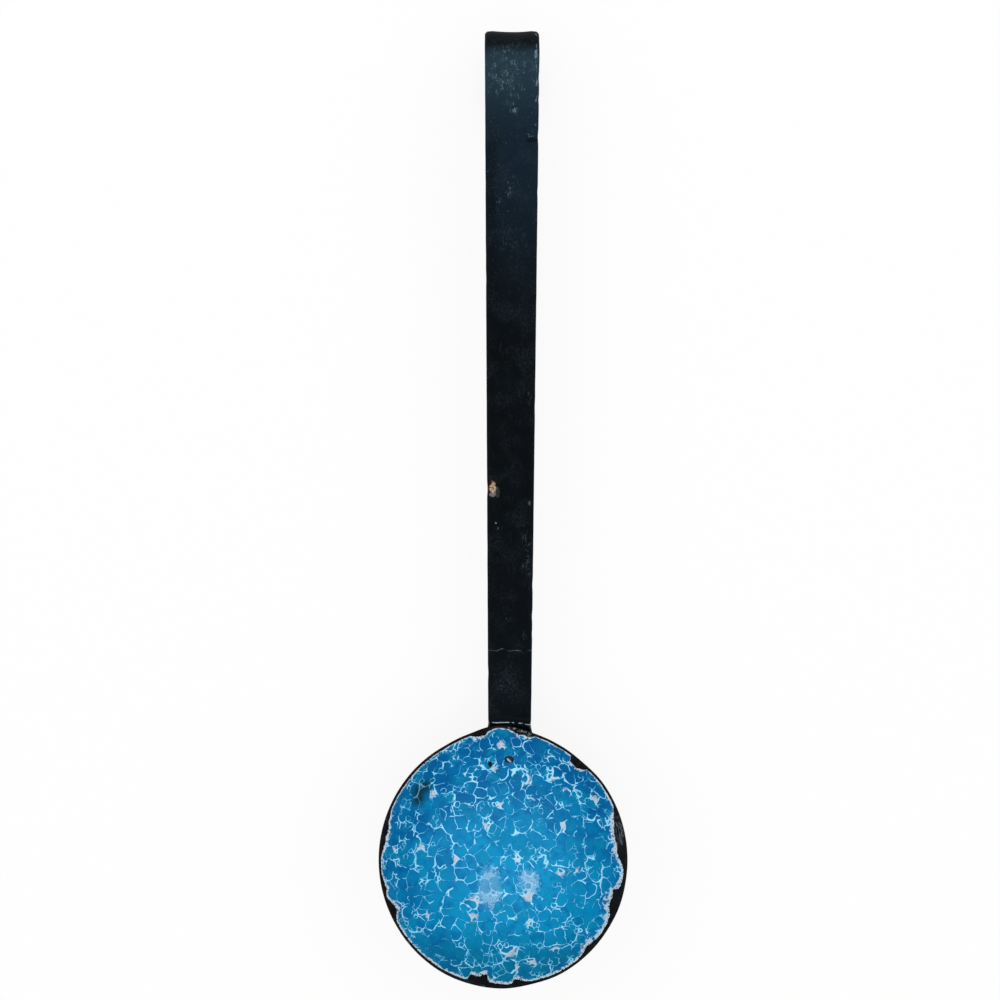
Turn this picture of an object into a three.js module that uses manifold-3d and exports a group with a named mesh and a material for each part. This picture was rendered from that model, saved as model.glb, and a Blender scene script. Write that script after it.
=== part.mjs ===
// Enamel ladle: a pressed steel bowl with an enamel lining, and a strap handle that is riveted to the
// outside of the bowl, bent over at the rim and rolled into a hanging hook at its far end.
// Millimetres, +Z up. The ladle lies at rest on a table, bowl open upwards, handle along +Y, with the
// origin on the table under the middle of its bounding box.

import * as THREE from 'three';
import { mergeVertices } from 'three/addons/utils/BufferGeometryUtils.js';
import Module from 'manifold-3d';

const wasm = await Module();
wasm.setup();

const { degToRad, lerp, smoothstep } = THREE.MathUtils;

// Bowl
const rimDiameter = 95; // outside, across the mouth
const bowlDepth = 33; // outside, from the rim to the bottom
const sheetThickness = 0.9;
const liningThickness = 0.4;
const liningMargin = 0.6; // bare edge between the lining and the rim

// Strap handle
const strapThickness = 1.8;
const strapEdgeRadius = 0.75;
const strapWidthAtRim = 16.8;
const strapWidthAtHook = 21;
const strapOffsetAtRim = 2.6; // strap's centre line to the right of the bowl's axis
const strapOffsetAtHook = 3.5;
const handleLength = 252.8; // straight run, from the bend at the rim to the hook
const handleRise = degToRad(16); // above the plane of the rim
const rimBendRadius = 3; // inside of the bend
const rimBendStandOff = 1; // the strap follows the bowl's curve this far past the rim

// Hook
const hookInnerRadius = 13;
const hookTurn = degToRad(195);
const hookTipLength = 7;
const hookTipCornerRadius = 5;
const hookDish = 0.7; // the rolled strap's edges stand this far above its middle
const hookDishRun = 20; // length over which the flat strap takes up that dish

// Rivets
const rivetShankRadius = 1.4;
const rivetInnerHeadRadius = 1.95;
const rivetOuterHeadRadius = 2.4;
const rivetHeadHeight = 0.9;
const rivetHeadEdge = 0.25; // straight side of a head, below its dome
const rivetSpacing = 6; // between neighbours, across the strap
const rivetBelowRim = 18; // centre rivet, along the bowl
const outerRivetDrop = 2; // how much lower the two outer rivets sit

// Tang, the end of the strap that lies against the bowl
const tangSideMargin = 1.6; // from an outer rivet's head to the tang's side
const tangEndMargin = 5.6; // from an outer rivet's head to the tang's end
const tangCornerRadius = 8;
const tangFlareLength = 13; // from the rim down to the full width

// Clearances
const seatClearance = 0.3; // between pieces that are pressed together
const holeClearance = 0.25; // round a rivet's shank or head

// Chips in the lining's edge: direction round the bowl in degrees (0 is +X, 90 is the handle), half the
// chip's width in degrees, and its depth below the lining's whole edge in millimetres
const chips = [
  { direction: 50, halfWidth: 6, depth: 4.5 },
  { direction: 6, halfWidth: 18, depth: 7 },
  { direction: -20, halfWidth: 13, depth: 4.5 },
  { direction: -45, halfWidth: 6, depth: 1.2 },
  { direction: -82, halfWidth: 5, depth: 2.8 },
  { direction: -103, halfWidth: 6.5, depth: 5.5 },
  { direction: -153, halfWidth: 6, depth: 1.5 },
  { direction: 170, halfWidth: 32, depth: 1 },
  { direction: 99, halfWidth: 5, depth: 1.6 },
  { direction: 80, halfWidth: 6, depth: 1.5 },
];

// Fineness of the curved faces
const bowlSegments = 72;
const liningSegments = 108;
const bowlRings = 8;
const rivetSegments = 16;
const domeSteps = 3;
const stripsAcrossStrap = 4;
const edgeSteps = 2;
const tangSteps = 14;
const rimBendSteps = 8;
const dishSteps = 4;
const hookSteps = 22;
const tipSteps = 6;
const weldDistance = 1e-5;
const nearlyStraight = 1e-9;

// The bowl is a cap of a sphere. The sphere's centre is the ladle's own origin, with +Z out of the mouth.
const rimRadius = rimDiameter / 2;
const bowlOuterRadius = (rimRadius ** 2 + bowlDepth ** 2) / (2 * bowlDepth);
const bowlInnerRadius = bowlOuterRadius - sheetThickness;
const rimHeight = bowlDepth - bowlOuterRadius;
const liningOuterRadius = bowlInnerRadius - seatClearance;
const liningInnerRadius = liningOuterRadius - liningThickness;

// The tang is concentric with the bowl, and large enough for its three rivets
const tangInnerRadius = bowlOuterRadius + seatClearance;
const tangOuterRadius = tangInnerRadius + strapThickness;
const tangMiddleRadius = tangInnerRadius + strapThickness / 2;
const tangWidth = 2 * (rivetSpacing + rivetOuterHeadRadius + tangSideMargin);
const tangLength = rivetBelowRim + outerRivetDrop + rivetOuterHeadRadius + tangEndMargin;

/** Angle from straight down at which a sphere of this radius reaches the plane of the rim. */
function rimAngle(radius) {
  return Math.acos(-rimHeight / radius);
}

/** Closed solid of a geometry: seams are welded, and faces of no area at the poles are left out. */
function solidOf(geometry) {
  const bare = geometry.clone();
  bare.deleteAttribute('normal');
  bare.deleteAttribute('uv');
  const welded = mergeVertices(bare, weldDistance);
  const triangles = [];
  for (let i = 0; i < welded.index.count; i += 3) {
    const corners = [0, 1, 2].map((k) => welded.index.getX(i + k));
    if (new Set(corners).size === 3) triangles.push(...corners);
  }
  return new wasm.Manifold(new wasm.Mesh({
    numProp: 3,
    vertProperties: new Float32Array(welded.attributes.position.array),
    triVerts: new Uint32Array(triangles),
  }));
}

/** Named mesh of a solid. */
function meshOf(name, solid, material) {
  const { vertProperties, triVerts } = solid.getMesh();
  const geometry = new THREE.BufferGeometry();
  geometry.setAttribute('position', new THREE.BufferAttribute(vertProperties, 3));
  geometry.setIndex(new THREE.BufferAttribute(triVerts, 1));
  geometry.computeVertexNormals();
  const mesh = new THREE.Mesh(geometry, material);
  mesh.name = name;
  return mesh;
}

/** Profile of (radius, height) points turned once round the Z axis. */
function turnedAboutZ(profile, segments) {
  return new THREE.LatheGeometry(profile, segments).rotateX(Math.PI / 2);
}

/** Points of a profile on a sphere of this radius, from one angle to another, from straight down. */
function profileArc(radius, from, to) {
  return Array.from({ length: bowlRings + 1 }, (_, i) => {
    const angle = lerp(from, to, i / bowlRings);
    return new THREE.Vector2(radius * Math.sin(angle), -radius * Math.cos(angle));
  });
}

/** Pressed bowl, its rim cut flat. */
function bowlShell() {
  return solidOf(turnedAboutZ([
    ...profileArc(bowlOuterRadius, 0, rimAngle(bowlOuterRadius)),
    ...profileArc(bowlInnerRadius, rimAngle(bowlInnerRadius), 0),
  ], bowlSegments));
}

/** How far the lining's edge lies below the rim in a direction round the bowl. */
function liningSetback(direction) {
  let depth = 0;
  for (const chip of chips) {
    const off = direction - degToRad(chip.direction);
    const nearest = Math.atan2(Math.sin(off), Math.cos(off));
    const share = nearest / degToRad(chip.halfWidth);
    if (Math.abs(share) < 1) depth = Math.max(depth, chip.depth * Math.sqrt(1 - share ** 2));
  }
  return liningMargin + depth;
}

/** Lining: a whole cap, each of its meridians drawn in to where the chipped edge runs. */
function bowlLining() {
  const wholeAngle = rimAngle(liningInnerRadius);
  const geometry = turnedAboutZ([
    ...profileArc(liningOuterRadius, 0, wholeAngle),
    ...profileArc(liningInnerRadius, wholeAngle, 0),
  ], liningSegments);
  const position = geometry.attributes.position;
  const point = new THREE.Vector3();
  for (let i = 0; i < position.count; i += 1) {
    point.fromBufferAttribute(position, i);
    const radius = point.length();
    const direction = Math.atan2(point.y, point.x);
    const edgeAngle = wholeAngle - liningSetback(direction) / liningInnerRadius;
    const angle = Math.acos(-point.z / radius) * edgeAngle / wholeAngle;
    const across = radius * Math.sin(angle);
    position.setXYZ(i, across * Math.cos(direction), across * Math.sin(direction), -radius * Math.cos(angle));
  }
  return solidOf(geometry);
}

/** Section of the strap as (across, through) points, its edges rounded. */
function strapSection(width) {
  const round = Math.min(strapEdgeRadius, strapThickness / 2);
  const side = width / 2 - round;
  const face = strapThickness / 2 - round;
  const points = [];
  const corners = [[1, -1], [1, 1], [-1, 1], [-1, -1]];
  corners.forEach(([right, top], corner) => {
    for (let i = 0; i <= edgeSteps; i += 1) {
      const angle = (corner - 1 + i / edgeSteps) * Math.PI / 2;
      const out = new THREE.Vector2(Math.cos(angle), Math.sin(angle)).multiplyScalar(round);
      points.push(out.add(new THREE.Vector2(right * side, top * face)));
    }
    if (right !== top) return;
    for (let i = 1; i < stripsAcrossStrap; i += 1) {
      const across = lerp(side, -side, i / stripsAcrossStrap) * right;
      points.push(new THREE.Vector2(across, top * strapThickness / 2));
    }
  });
  return points;
}

/** Ring of points at a station, its section curved across about the line x = station.about. */
function ringAt(station) {
  const { y, z, heading, width, offset, curvature, about } = station;
  return strapSection(width).map(({ x: across, y: through }) => {
    const arm = offset + across - about;
    const flat = Math.abs(curvature) < nearlyStraight;
    const arc = 1 / curvature - through;
    const sideways = flat ? arm : arc * Math.sin(arm * curvature);
    const lift = flat ? through : 1 / curvature - arc * Math.cos(arm * curvature);
    return new THREE.Vector3(about + sideways, y - Math.sin(heading) * lift, z + Math.cos(heading) * lift);
  });
}

/** Closed skin over rings with equal numbers of points, with a fan over each end. */
function skinOver(rings) {
  const count = rings[0].length;
  const points = rings.flat();
  const triangles = [];
  for (let i = 0; i < points.length - count; i += 1) {
    const next = i % count === count - 1 ? i + 1 - count : i + 1;
    triangles.push(i, i + count, next, next, i + count, next + count);
  }
  const cap = (first, reversed) => {
    const ring = points.slice(first, first + count);
    const mean = ring.reduce((sum, point) => sum.add(point), new THREE.Vector3()).divideScalar(count);
    const middle = points.push(mean) - 1;
    for (let i = 0; i < count; i += 1) {
      const side = [first + i, first + (i + 1) % count];
      triangles.push(middle, ...(reversed ? side.reverse() : side));
    }
  };
  const last = points.length - count;
  cap(0, false);
  cap(last, true);
  const geometry = new THREE.BufferGeometry().setFromPoints(points);
  geometry.setIndex(triangles);
  return geometry;
}

/** Width of a strip at a distance from its end, where its corners are rounded. */
function roundedWidth(width, cornerRadius, fromEnd) {
  const into = Math.max(cornerRadius - fromEnd, 0);
  return width - 2 * (cornerRadius - Math.sqrt(cornerRadius ** 2 - into ** 2));
}

/** Width of the tang at a distance below the rim: a flare, then the rounded end. */
function tangWidthAt(belowRim) {
  const width = lerp(strapWidthAtRim, tangWidth, smoothstep(belowRim, 0, tangFlareLength));
  return roundedWidth(width, tangCornerRadius, tangLength - belowRim);
}

/** Station on a stretch of even turn, at a share of its length from the station at its start. */
function stationOn(stretch, start, share) {
  const half = stretch.turn * share / 2;
  const chord = stretch.length * share * (Math.abs(half) < nearlyStraight ? 1 : Math.sin(half) / half);
  return {
    y: start.y + chord * Math.cos(start.heading + half),
    z: start.z + chord * Math.sin(start.heading + half),
    heading: start.heading + 2 * half,
    ...stretch.shape(share),
  };
}

/** The strap's stretches, from the tang's end to the hook's tip. */
function strapStretches() {
  const rim = rimAngle(bowlOuterRadius);
  const tangTurn = tangLength / bowlOuterRadius;
  const standOffTurn = rimBendStandOff / tangMiddleRadius;
  const rimBendTurn = rim + standOffTurn - handleRise;
  const hookCurvature = 2 * hookDish / (strapWidthAtHook / 2) ** 2;
  const flatShare = 1 - hookDishRun / handleLength;
  const onBowl = {
    width: strapWidthAtRim,
    offset: strapOffsetAtRim,
    curvature: 1 / tangMiddleRadius,
    about: 0,
  };
  const onHandle = (share) => ({
    width: lerp(strapWidthAtRim, strapWidthAtHook, share),
    offset: lerp(strapOffsetAtRim, strapOffsetAtHook, share),
    curvature: 0,
    about: strapOffsetAtHook,
  });
  const onHook = { ...onHandle(1), curvature: hookCurvature };
  return {
    tang: {
      length: tangMiddleRadius * tangTurn,
      turn: tangTurn,
      steps: tangSteps,
      pace: (share) => 1 - Math.cos(share * Math.PI / 2),
      shape: (share) => ({ ...onBowl, width: tangWidthAt(tangLength * (1 - share)) }),
    },
    standOff: {
      length: rimBendStandOff,
      turn: standOffTurn,
      steps: 1,
      shape: () => onBowl,
    },
    rimBend: {
      length: (rimBendRadius + strapThickness / 2) * rimBendTurn,
      turn: -rimBendTurn,
      steps: rimBendSteps,
      shape: (share) => ({ ...onBowl, curvature: onBowl.curvature * (1 - share) }),
    },
    flatHandle: {
      length: handleLength - hookDishRun,
      turn: 0,
      steps: 1,
      shape: (share) => onHandle(flatShare * share),
    },
    dishedHandle: {
      length: hookDishRun,
      turn: 0,
      steps: dishSteps,
      shape: (share) => ({
        ...onHandle(lerp(flatShare, 1, share)),
        curvature: hookCurvature * smoothstep(share, 0, 1),
      }),
    },
    hook: {
      length: (hookInnerRadius + strapThickness / 2) * hookTurn,
      turn: -hookTurn,
      steps: hookSteps,
      shape: () => onHook,
    },
    tip: {
      length: hookTipLength,
      turn: 0,
      steps: tipSteps,
      pace: (share) => Math.sin(share * Math.PI / 2),
      shape: (share) => ({
        ...onHook,
        width: roundedWidth(strapWidthAtHook, hookTipCornerRadius, hookTipLength * (1 - share)),
      }),
    },
  };
}

/** Walk along the strap: the rings of its skin, and the station at which each stretch starts. */
function walkStrap() {
  const tangEnd = rimAngle(bowlOuterRadius) - tangLength / bowlOuterRadius;
  let at = {
    y: tangMiddleRadius * Math.sin(tangEnd),
    z: -tangMiddleRadius * Math.cos(tangEnd),
    heading: tangEnd,
  };
  const rings = [];
  const starts = {};
  for (const [name, stretch] of Object.entries(strapStretches())) {
    starts[name] = at;
    const pace = stretch.pace ?? ((share) => share);
    for (let i = rings.length ? 1 : 0; i <= stretch.steps; i += 1) {
      rings.push(ringAt(stationOn(stretch, at, pace(i / stretch.steps))));
    }
    at = stationOn(stretch, at, 1);
  }
  return { rings, starts };
}

/** Turn from +Z to a rivet's axis, which runs out from the sphere's centre. */
function rivetTurn({ across, belowRim }) {
  const aside = (strapOffsetAtRim + across) / bowlOuterRadius;
  const up = rimAngle(bowlOuterRadius) - belowRim / bowlOuterRadius;
  const axis = new THREE.Vector3(
    Math.sin(aside),
    Math.cos(aside) * Math.sin(up),
    -Math.cos(aside) * Math.cos(up),
  );
  return new THREE.Quaternion().setFromUnitVectors(new THREE.Vector3(0, 0, 1), axis);
}

/** Rivet along +Z: a low dome inside the bowl, the shank, and a low dome outside the tang. */
function rivetGeometry() {
  const innerSeat = bowlInnerRadius - seatClearance;
  const outerSeat = tangOuterRadius + seatClearance;
  const domeHeight = rivetHeadHeight - rivetHeadEdge;
  const dome = (radius, seat, side) => Array.from({ length: domeSteps + 1 }, (_, i) => {
    const angle = i / domeSteps * Math.PI / 2;
    const height = rivetHeadEdge + domeHeight * Math.cos(angle);
    return new THREE.Vector2(radius * Math.sin(angle), seat + side * height);
  });
  return turnedAboutZ([
    ...dome(rivetInnerHeadRadius, innerSeat, -1),
    new THREE.Vector2(rivetInnerHeadRadius, innerSeat),
    new THREE.Vector2(rivetShankRadius, innerSeat),
    new THREE.Vector2(rivetShankRadius, outerSeat),
    new THREE.Vector2(rivetOuterHeadRadius, outerSeat),
    ...dome(rivetOuterHeadRadius, outerSeat, 1).reverse(),
  ], rivetSegments);
}

/** Cutter for a hole along +Z through every layer at a rivet. */
function holeGeometry(radius) {
  const [from, to] = [liningInnerRadius - rivetHeadHeight, tangOuterRadius + rivetHeadHeight];
  const hole = new THREE.CylinderGeometry(radius, radius, to - from, rivetSegments);
  return hole.rotateX(Math.PI / 2).translate(0, 0, (from + to) / 2);
}

const rivets = [
  { name: 'rivet_left', across: -rivetSpacing, belowRim: rivetBelowRim + outerRivetDrop },
  { name: 'rivet_centre', across: 0, belowRim: rivetBelowRim },
  { name: 'rivet_right', across: rivetSpacing, belowRim: rivetBelowRim + outerRivetDrop },
];

/** Solid with a hole of this radius cut at every rivet. */
function drilled(solid, radius) {
  return rivets.reduce((rest, rivet) => {
    const hole = holeGeometry(radius).applyQuaternion(rivetTurn(rivet));
    return rest.subtract(solidOf(hole));
  }, solid);
}

const blackEnamel = new THREE.MeshStandardMaterial({ color: 0x101417, roughness: 0.38, metalness: 0 });
const blueEnamel = new THREE.MeshStandardMaterial({ color: 0x0a74b8, roughness: 0.22, metalness: 0 });
const darkSteel = new THREE.MeshStandardMaterial({ color: 0x3a3a3c, roughness: 0.5, metalness: 0.8 });

const strap = walkStrap();
const shankHole = rivetShankRadius + holeClearance;
const headHole = rivetInnerHeadRadius + holeClearance;

const bowl = new THREE.Group();
bowl.add(
  meshOf('bowl_shell', drilled(bowlShell(), shankHole), blackEnamel),
  meshOf('bowl_lining', drilled(bowlLining(), headHole), blueEnamel),
);

const handle = new THREE.Group();
handle.add(meshOf('handle_strap', drilled(solidOf(skinOver(strap.rings)), shankHole), blackEnamel));
for (const rivet of rivets) {
  const mesh = meshOf(rivet.name, solidOf(rivetGeometry()), darkSteel);
  mesh.quaternion.copy(rivetTurn(rivet));
  handle.add(mesh);
}

const ladle = new THREE.Group();
ladle.add(bowl, handle);

// At rest the line that touches the bowl and the hook from below lies level
const hookMiddleRadius = hookInnerRadius + strapThickness / 2;
const hookRestRadius = hookInnerRadius + strapThickness + hookDish;
const hookStart = strap.starts.hook;
const hookCentre = new THREE.Vector2(
  hookStart.y + Math.sin(hookStart.heading) * hookMiddleRadius,
  hookStart.z - Math.cos(hookStart.heading) * hookMiddleRadius,
);
const fall = Math.asin((bowlOuterRadius - hookRestRadius) / hookCentre.length());
ladle.rotation.x = -(Math.atan2(hookCentre.y, hookCentre.x) + fall);

// Origin on the table, under the middle of the bounding box
const box = new THREE.Box3().setFromObject(ladle, true);
const middle = box.getCenter(new THREE.Vector3());
ladle.position.set(-middle.x, -middle.y, -box.min.z);

const model = new THREE.Group();
model.add(ladle);

export default model;
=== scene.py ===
"""Enamel ladle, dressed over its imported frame.

A pressed bowl with a mottled lining, a strap handle with a rolled hook, and three rivets, on a pale
studio floor. Sizes are millimetres in the ladle's own frame: its origin is the centre of the bowl's
sphere, +Z runs out of the mouth and +Y towards the handle. A Seat takes them to the frame's metres.
"""

import logging
import math
from collections.abc import Callable, Iterator, Sequence
from dataclasses import dataclass, replace
from enum import Enum

import bmesh
import bpy
from mathutils import Matrix, Vector, noise


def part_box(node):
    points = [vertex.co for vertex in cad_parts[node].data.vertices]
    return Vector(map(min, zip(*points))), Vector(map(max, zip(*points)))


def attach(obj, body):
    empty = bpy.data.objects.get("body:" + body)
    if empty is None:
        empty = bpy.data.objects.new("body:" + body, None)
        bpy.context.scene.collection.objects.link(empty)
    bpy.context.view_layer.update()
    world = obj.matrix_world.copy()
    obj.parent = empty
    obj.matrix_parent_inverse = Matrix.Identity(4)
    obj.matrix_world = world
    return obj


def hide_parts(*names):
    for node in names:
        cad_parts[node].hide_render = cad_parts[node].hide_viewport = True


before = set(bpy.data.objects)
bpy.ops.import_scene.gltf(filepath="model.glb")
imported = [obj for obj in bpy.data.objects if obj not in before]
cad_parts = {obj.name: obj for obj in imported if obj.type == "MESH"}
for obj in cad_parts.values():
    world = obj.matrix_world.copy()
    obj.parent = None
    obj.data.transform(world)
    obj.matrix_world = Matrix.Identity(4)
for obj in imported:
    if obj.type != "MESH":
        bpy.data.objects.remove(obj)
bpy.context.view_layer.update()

LOG = logging.getLogger("ladle")
MM = 0.001
FULL_TURN = 2 * math.pi
CREASE = math.radians(40)
MERGE_GAP = 1e-3
PLAN_SHARE = 0.4
BODY = "root"

Colour = tuple[float, float, float, float]
Triple = tuple[float, float, float]
Socket = bpy.types.NodeSocket
Feed = Socket | float | Sequence[float]


class Node(str, Enum):
    """CAD nodes that the pieces stand for."""

    SHELL = "bowl_shell"
    LINING = "bowl_lining"
    STRAP = "handle_strap"
    RIVET_LEFT = "rivet_left"
    RIVET_CENTRE = "rivet_centre"
    RIVET_RIGHT = "rivet_right"


class Slot(str, Enum):
    """Material slots of the record."""

    BLACK_ENAMEL = "black_enamel"
    BLUE_ENAMEL = "blue_enamel"
    HANDLE_ENAMEL = "handle_enamel"
    RIVET_STEEL = "rivet_steel"


# Numbers and places


def paint(red: int, green: int, blue: int) -> Colour:
    """Linear colour of a display colour that is written in steps from 0 to 255."""
    shares = (step / 255 for step in (red, green, blue))
    return (*(s / 12.92 if s <= 0.04045 else ((s + 0.055) / 1.055) ** 2.4 for s in shares), 1.0)


def blend(first: float, second: float, share: float) -> float:
    """Value at a share of the way from the first to the second."""
    return first + (second - first) * share


def ease(value: float, low: float, high: float) -> float:
    """Smooth step from 0 at low to 1 at high."""
    share = min(max((value - low) / (high - low), 0.0), 1.0)
    return share * share * (3 - 2 * share)


def wave(place: Vector) -> float:
    """Noise at a place, from 0 to 1."""
    return 0.5 + 0.5 * noise.noise(place)


def bowl_point(direction: float, polar: float, radius: float) -> Vector:
    """Point on a sphere round the bowl's centre.

    Args:
        direction: Degrees round the bowl, 0 at +X and 90 at the handle.
        polar: Degrees from the bottom of the bowl.
        radius: Radius of the sphere.

    Returns:
        The point, in the ladle's own frame.
    """
    around = math.radians(direction)
    down = math.radians(polar)
    out = radius * math.sin(down)
    return Vector((out * math.cos(around), out * math.sin(around), -radius * math.cos(down)))


def laid_out(direction: float, polar: float, radius: float) -> Vector:
    """Place of a point of the bowl when its face is laid out flat, part way to the plan.

    Args:
        direction: Degrees round the bowl, 0 at +X and 90 at the handle.
        polar: Degrees from the bottom of the bowl.
        radius: Radius of the face.

    Returns:
        The place in the plane, in millimetres from the bottom of the bowl.
    """
    around = math.radians(direction)
    down = math.radians(polar)
    way = Vector((math.cos(around), math.sin(around), 0.0))
    return way * radius * blend(down, math.sin(down), PLAN_SHARE)


def direction_of(point: Vector) -> float:
    """Degrees of a point round the bowl, from -180 to 180."""
    return math.degrees(math.atan2(point.y, point.x))


def polar_of(point: Vector) -> float:
    """Angle of a point from the bottom of the bowl, in radians."""
    return math.acos(max(min(-point.z / point.length, 1.0), -1.0))


@dataclass(frozen=True)
class Seat:
    """Where the bowl's sphere stands in the frame, and how far the ladle leans to its handle."""

    centre: Vector
    lean: float

    @classmethod
    def of_bowl(cls, depth: float) -> "Seat":
        """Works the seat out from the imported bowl.

        Args:
            depth: Depth of the bowl, outside.

        Returns:
            The seat, with its centre in millimetres of the frame.
        """
        low, high = (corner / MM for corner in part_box(Node.SHELL.value))
        rim = (high.x - low.x) / 2
        radius = (rim**2 + depth**2) / (2 * depth)
        drop = radius - depth
        lean = math.asin((high.z - radius) / radius) + math.atan2(drop, rim)
        middle = low.y + math.sin(lean) * drop + math.cos(lean) * rim
        return cls(Vector(((low.x + high.x) / 2, middle, radius)), lean)

    def to_frame(self) -> Matrix:
        """Matrix from the ladle's own millimetres to the frame's metres."""
        turn = Matrix.Rotation(-self.lean, 4, "X")
        return Matrix.Scale(MM, 4) @ Matrix.Translation(self.centre) @ turn


# Pieces and meshes


def finished_piece(name: str, bm: bmesh.types.BMesh, seat: Seat) -> bpy.types.Object:
    """Turns a mesh of the ladle's own frame into an object at the frame's origin.

    Args:
        name: Name of the piece.
        bm: Mesh in the ladle's own millimetres. It is freed.
        seat: Where the ladle lies.

    Returns:
        The new object, linked into the scene.
    """
    bm.transform(seat.to_frame())
    mesh = bpy.data.meshes.new(name)
    bm.to_mesh(mesh)
    bm.free()
    mesh.shade_smooth()
    mesh.set_sharp_from_angle(angle=CREASE)
    piece = bpy.data.objects.new(name, mesh)
    bpy.context.scene.collection.objects.link(piece)
    return piece


def settle(
    piece: bpy.types.Object, node: Node, slot: Slot, material: bpy.types.Material
) -> bpy.types.Object:
    """Dresses a piece, lets it stand for its node and fixes it to the body.

    Args:
        piece: The finished object.
        node: CAD node that it stands for.
        slot: Slot of the record for its finish; not used.
        material: Finish to show.

    Returns:
        The same object.
    """
    piece.data.materials.append(material)
    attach(piece, BODY)
    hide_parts(node.value)
    LOG.info("%s stands for %s, %d faces", piece.name, node.value, len(piece.data.polygons))
    return piece


def spin_round(bm: bmesh.types.BMesh, segments: int) -> None:
    """Spins a half section once round the Z axis and closes the skin.

    Args:
        bm: Mesh with nothing but the half section.
        segments: Steps once round.
    """
    section = bm.verts[:] + bm.edges[:]
    still = {"cent": (0, 0, 0), "dvec": (0, 0, 0), "use_merge": True}
    bmesh.ops.spin(bm, geom=section, axis=(0, 0, 1), angle=FULL_TURN, steps=segments, **still)
    bmesh.ops.remove_doubles(bm, verts=bm.verts[:], dist=MERGE_GAP)
    bmesh.ops.recalc_face_normals(bm, faces=bm.faces[:])


def spun_cap(radius: float, polar: float, rings: int, segments: int) -> bmesh.types.BMesh:
    """Open cap of a sphere round the origin, its pole straight down and its faces outwards.

    Args:
        radius: Radius of the sphere.
        polar: Angle from the pole to the cap's edge, in radians.
        rings: Steps from the pole to the edge.
        segments: Steps once round.

    Returns:
        The mesh.
    """
    bm = bmesh.new()
    pole = bm.verts.new((0, 0, -radius))
    still = {"cent": (0, 0, 0), "dvec": (0, 0, 0)}
    bmesh.ops.spin(bm, geom=[pole], axis=(0, -1, 0), angle=polar, steps=rings, **still)
    spin_round(bm, segments)
    bm.normal_update()
    bm.faces.ensure_lookup_table()
    if bm.faces[0].normal.dot(bm.faces[0].calc_center_median()) < 0:
        bmesh.ops.reverse_faces(bm, faces=bm.faces[:])
    return bm


# Shader nodes


@dataclass(frozen=True)
class Pattern:
    """Noise over a surface, eased between two levels.

    The scale is cycles per millimetre, and detail and roughness say how much finer noise is in it. Where
    the noise is low or beyond, the pattern is first. Where it is high or beyond, the pattern is last.
    """

    scale: float
    detail: float = 2.0
    roughness: float = 0.5
    low: float = 0.0
    high: float = 1.0
    first: float = 0.0
    last: float = 1.0


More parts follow.
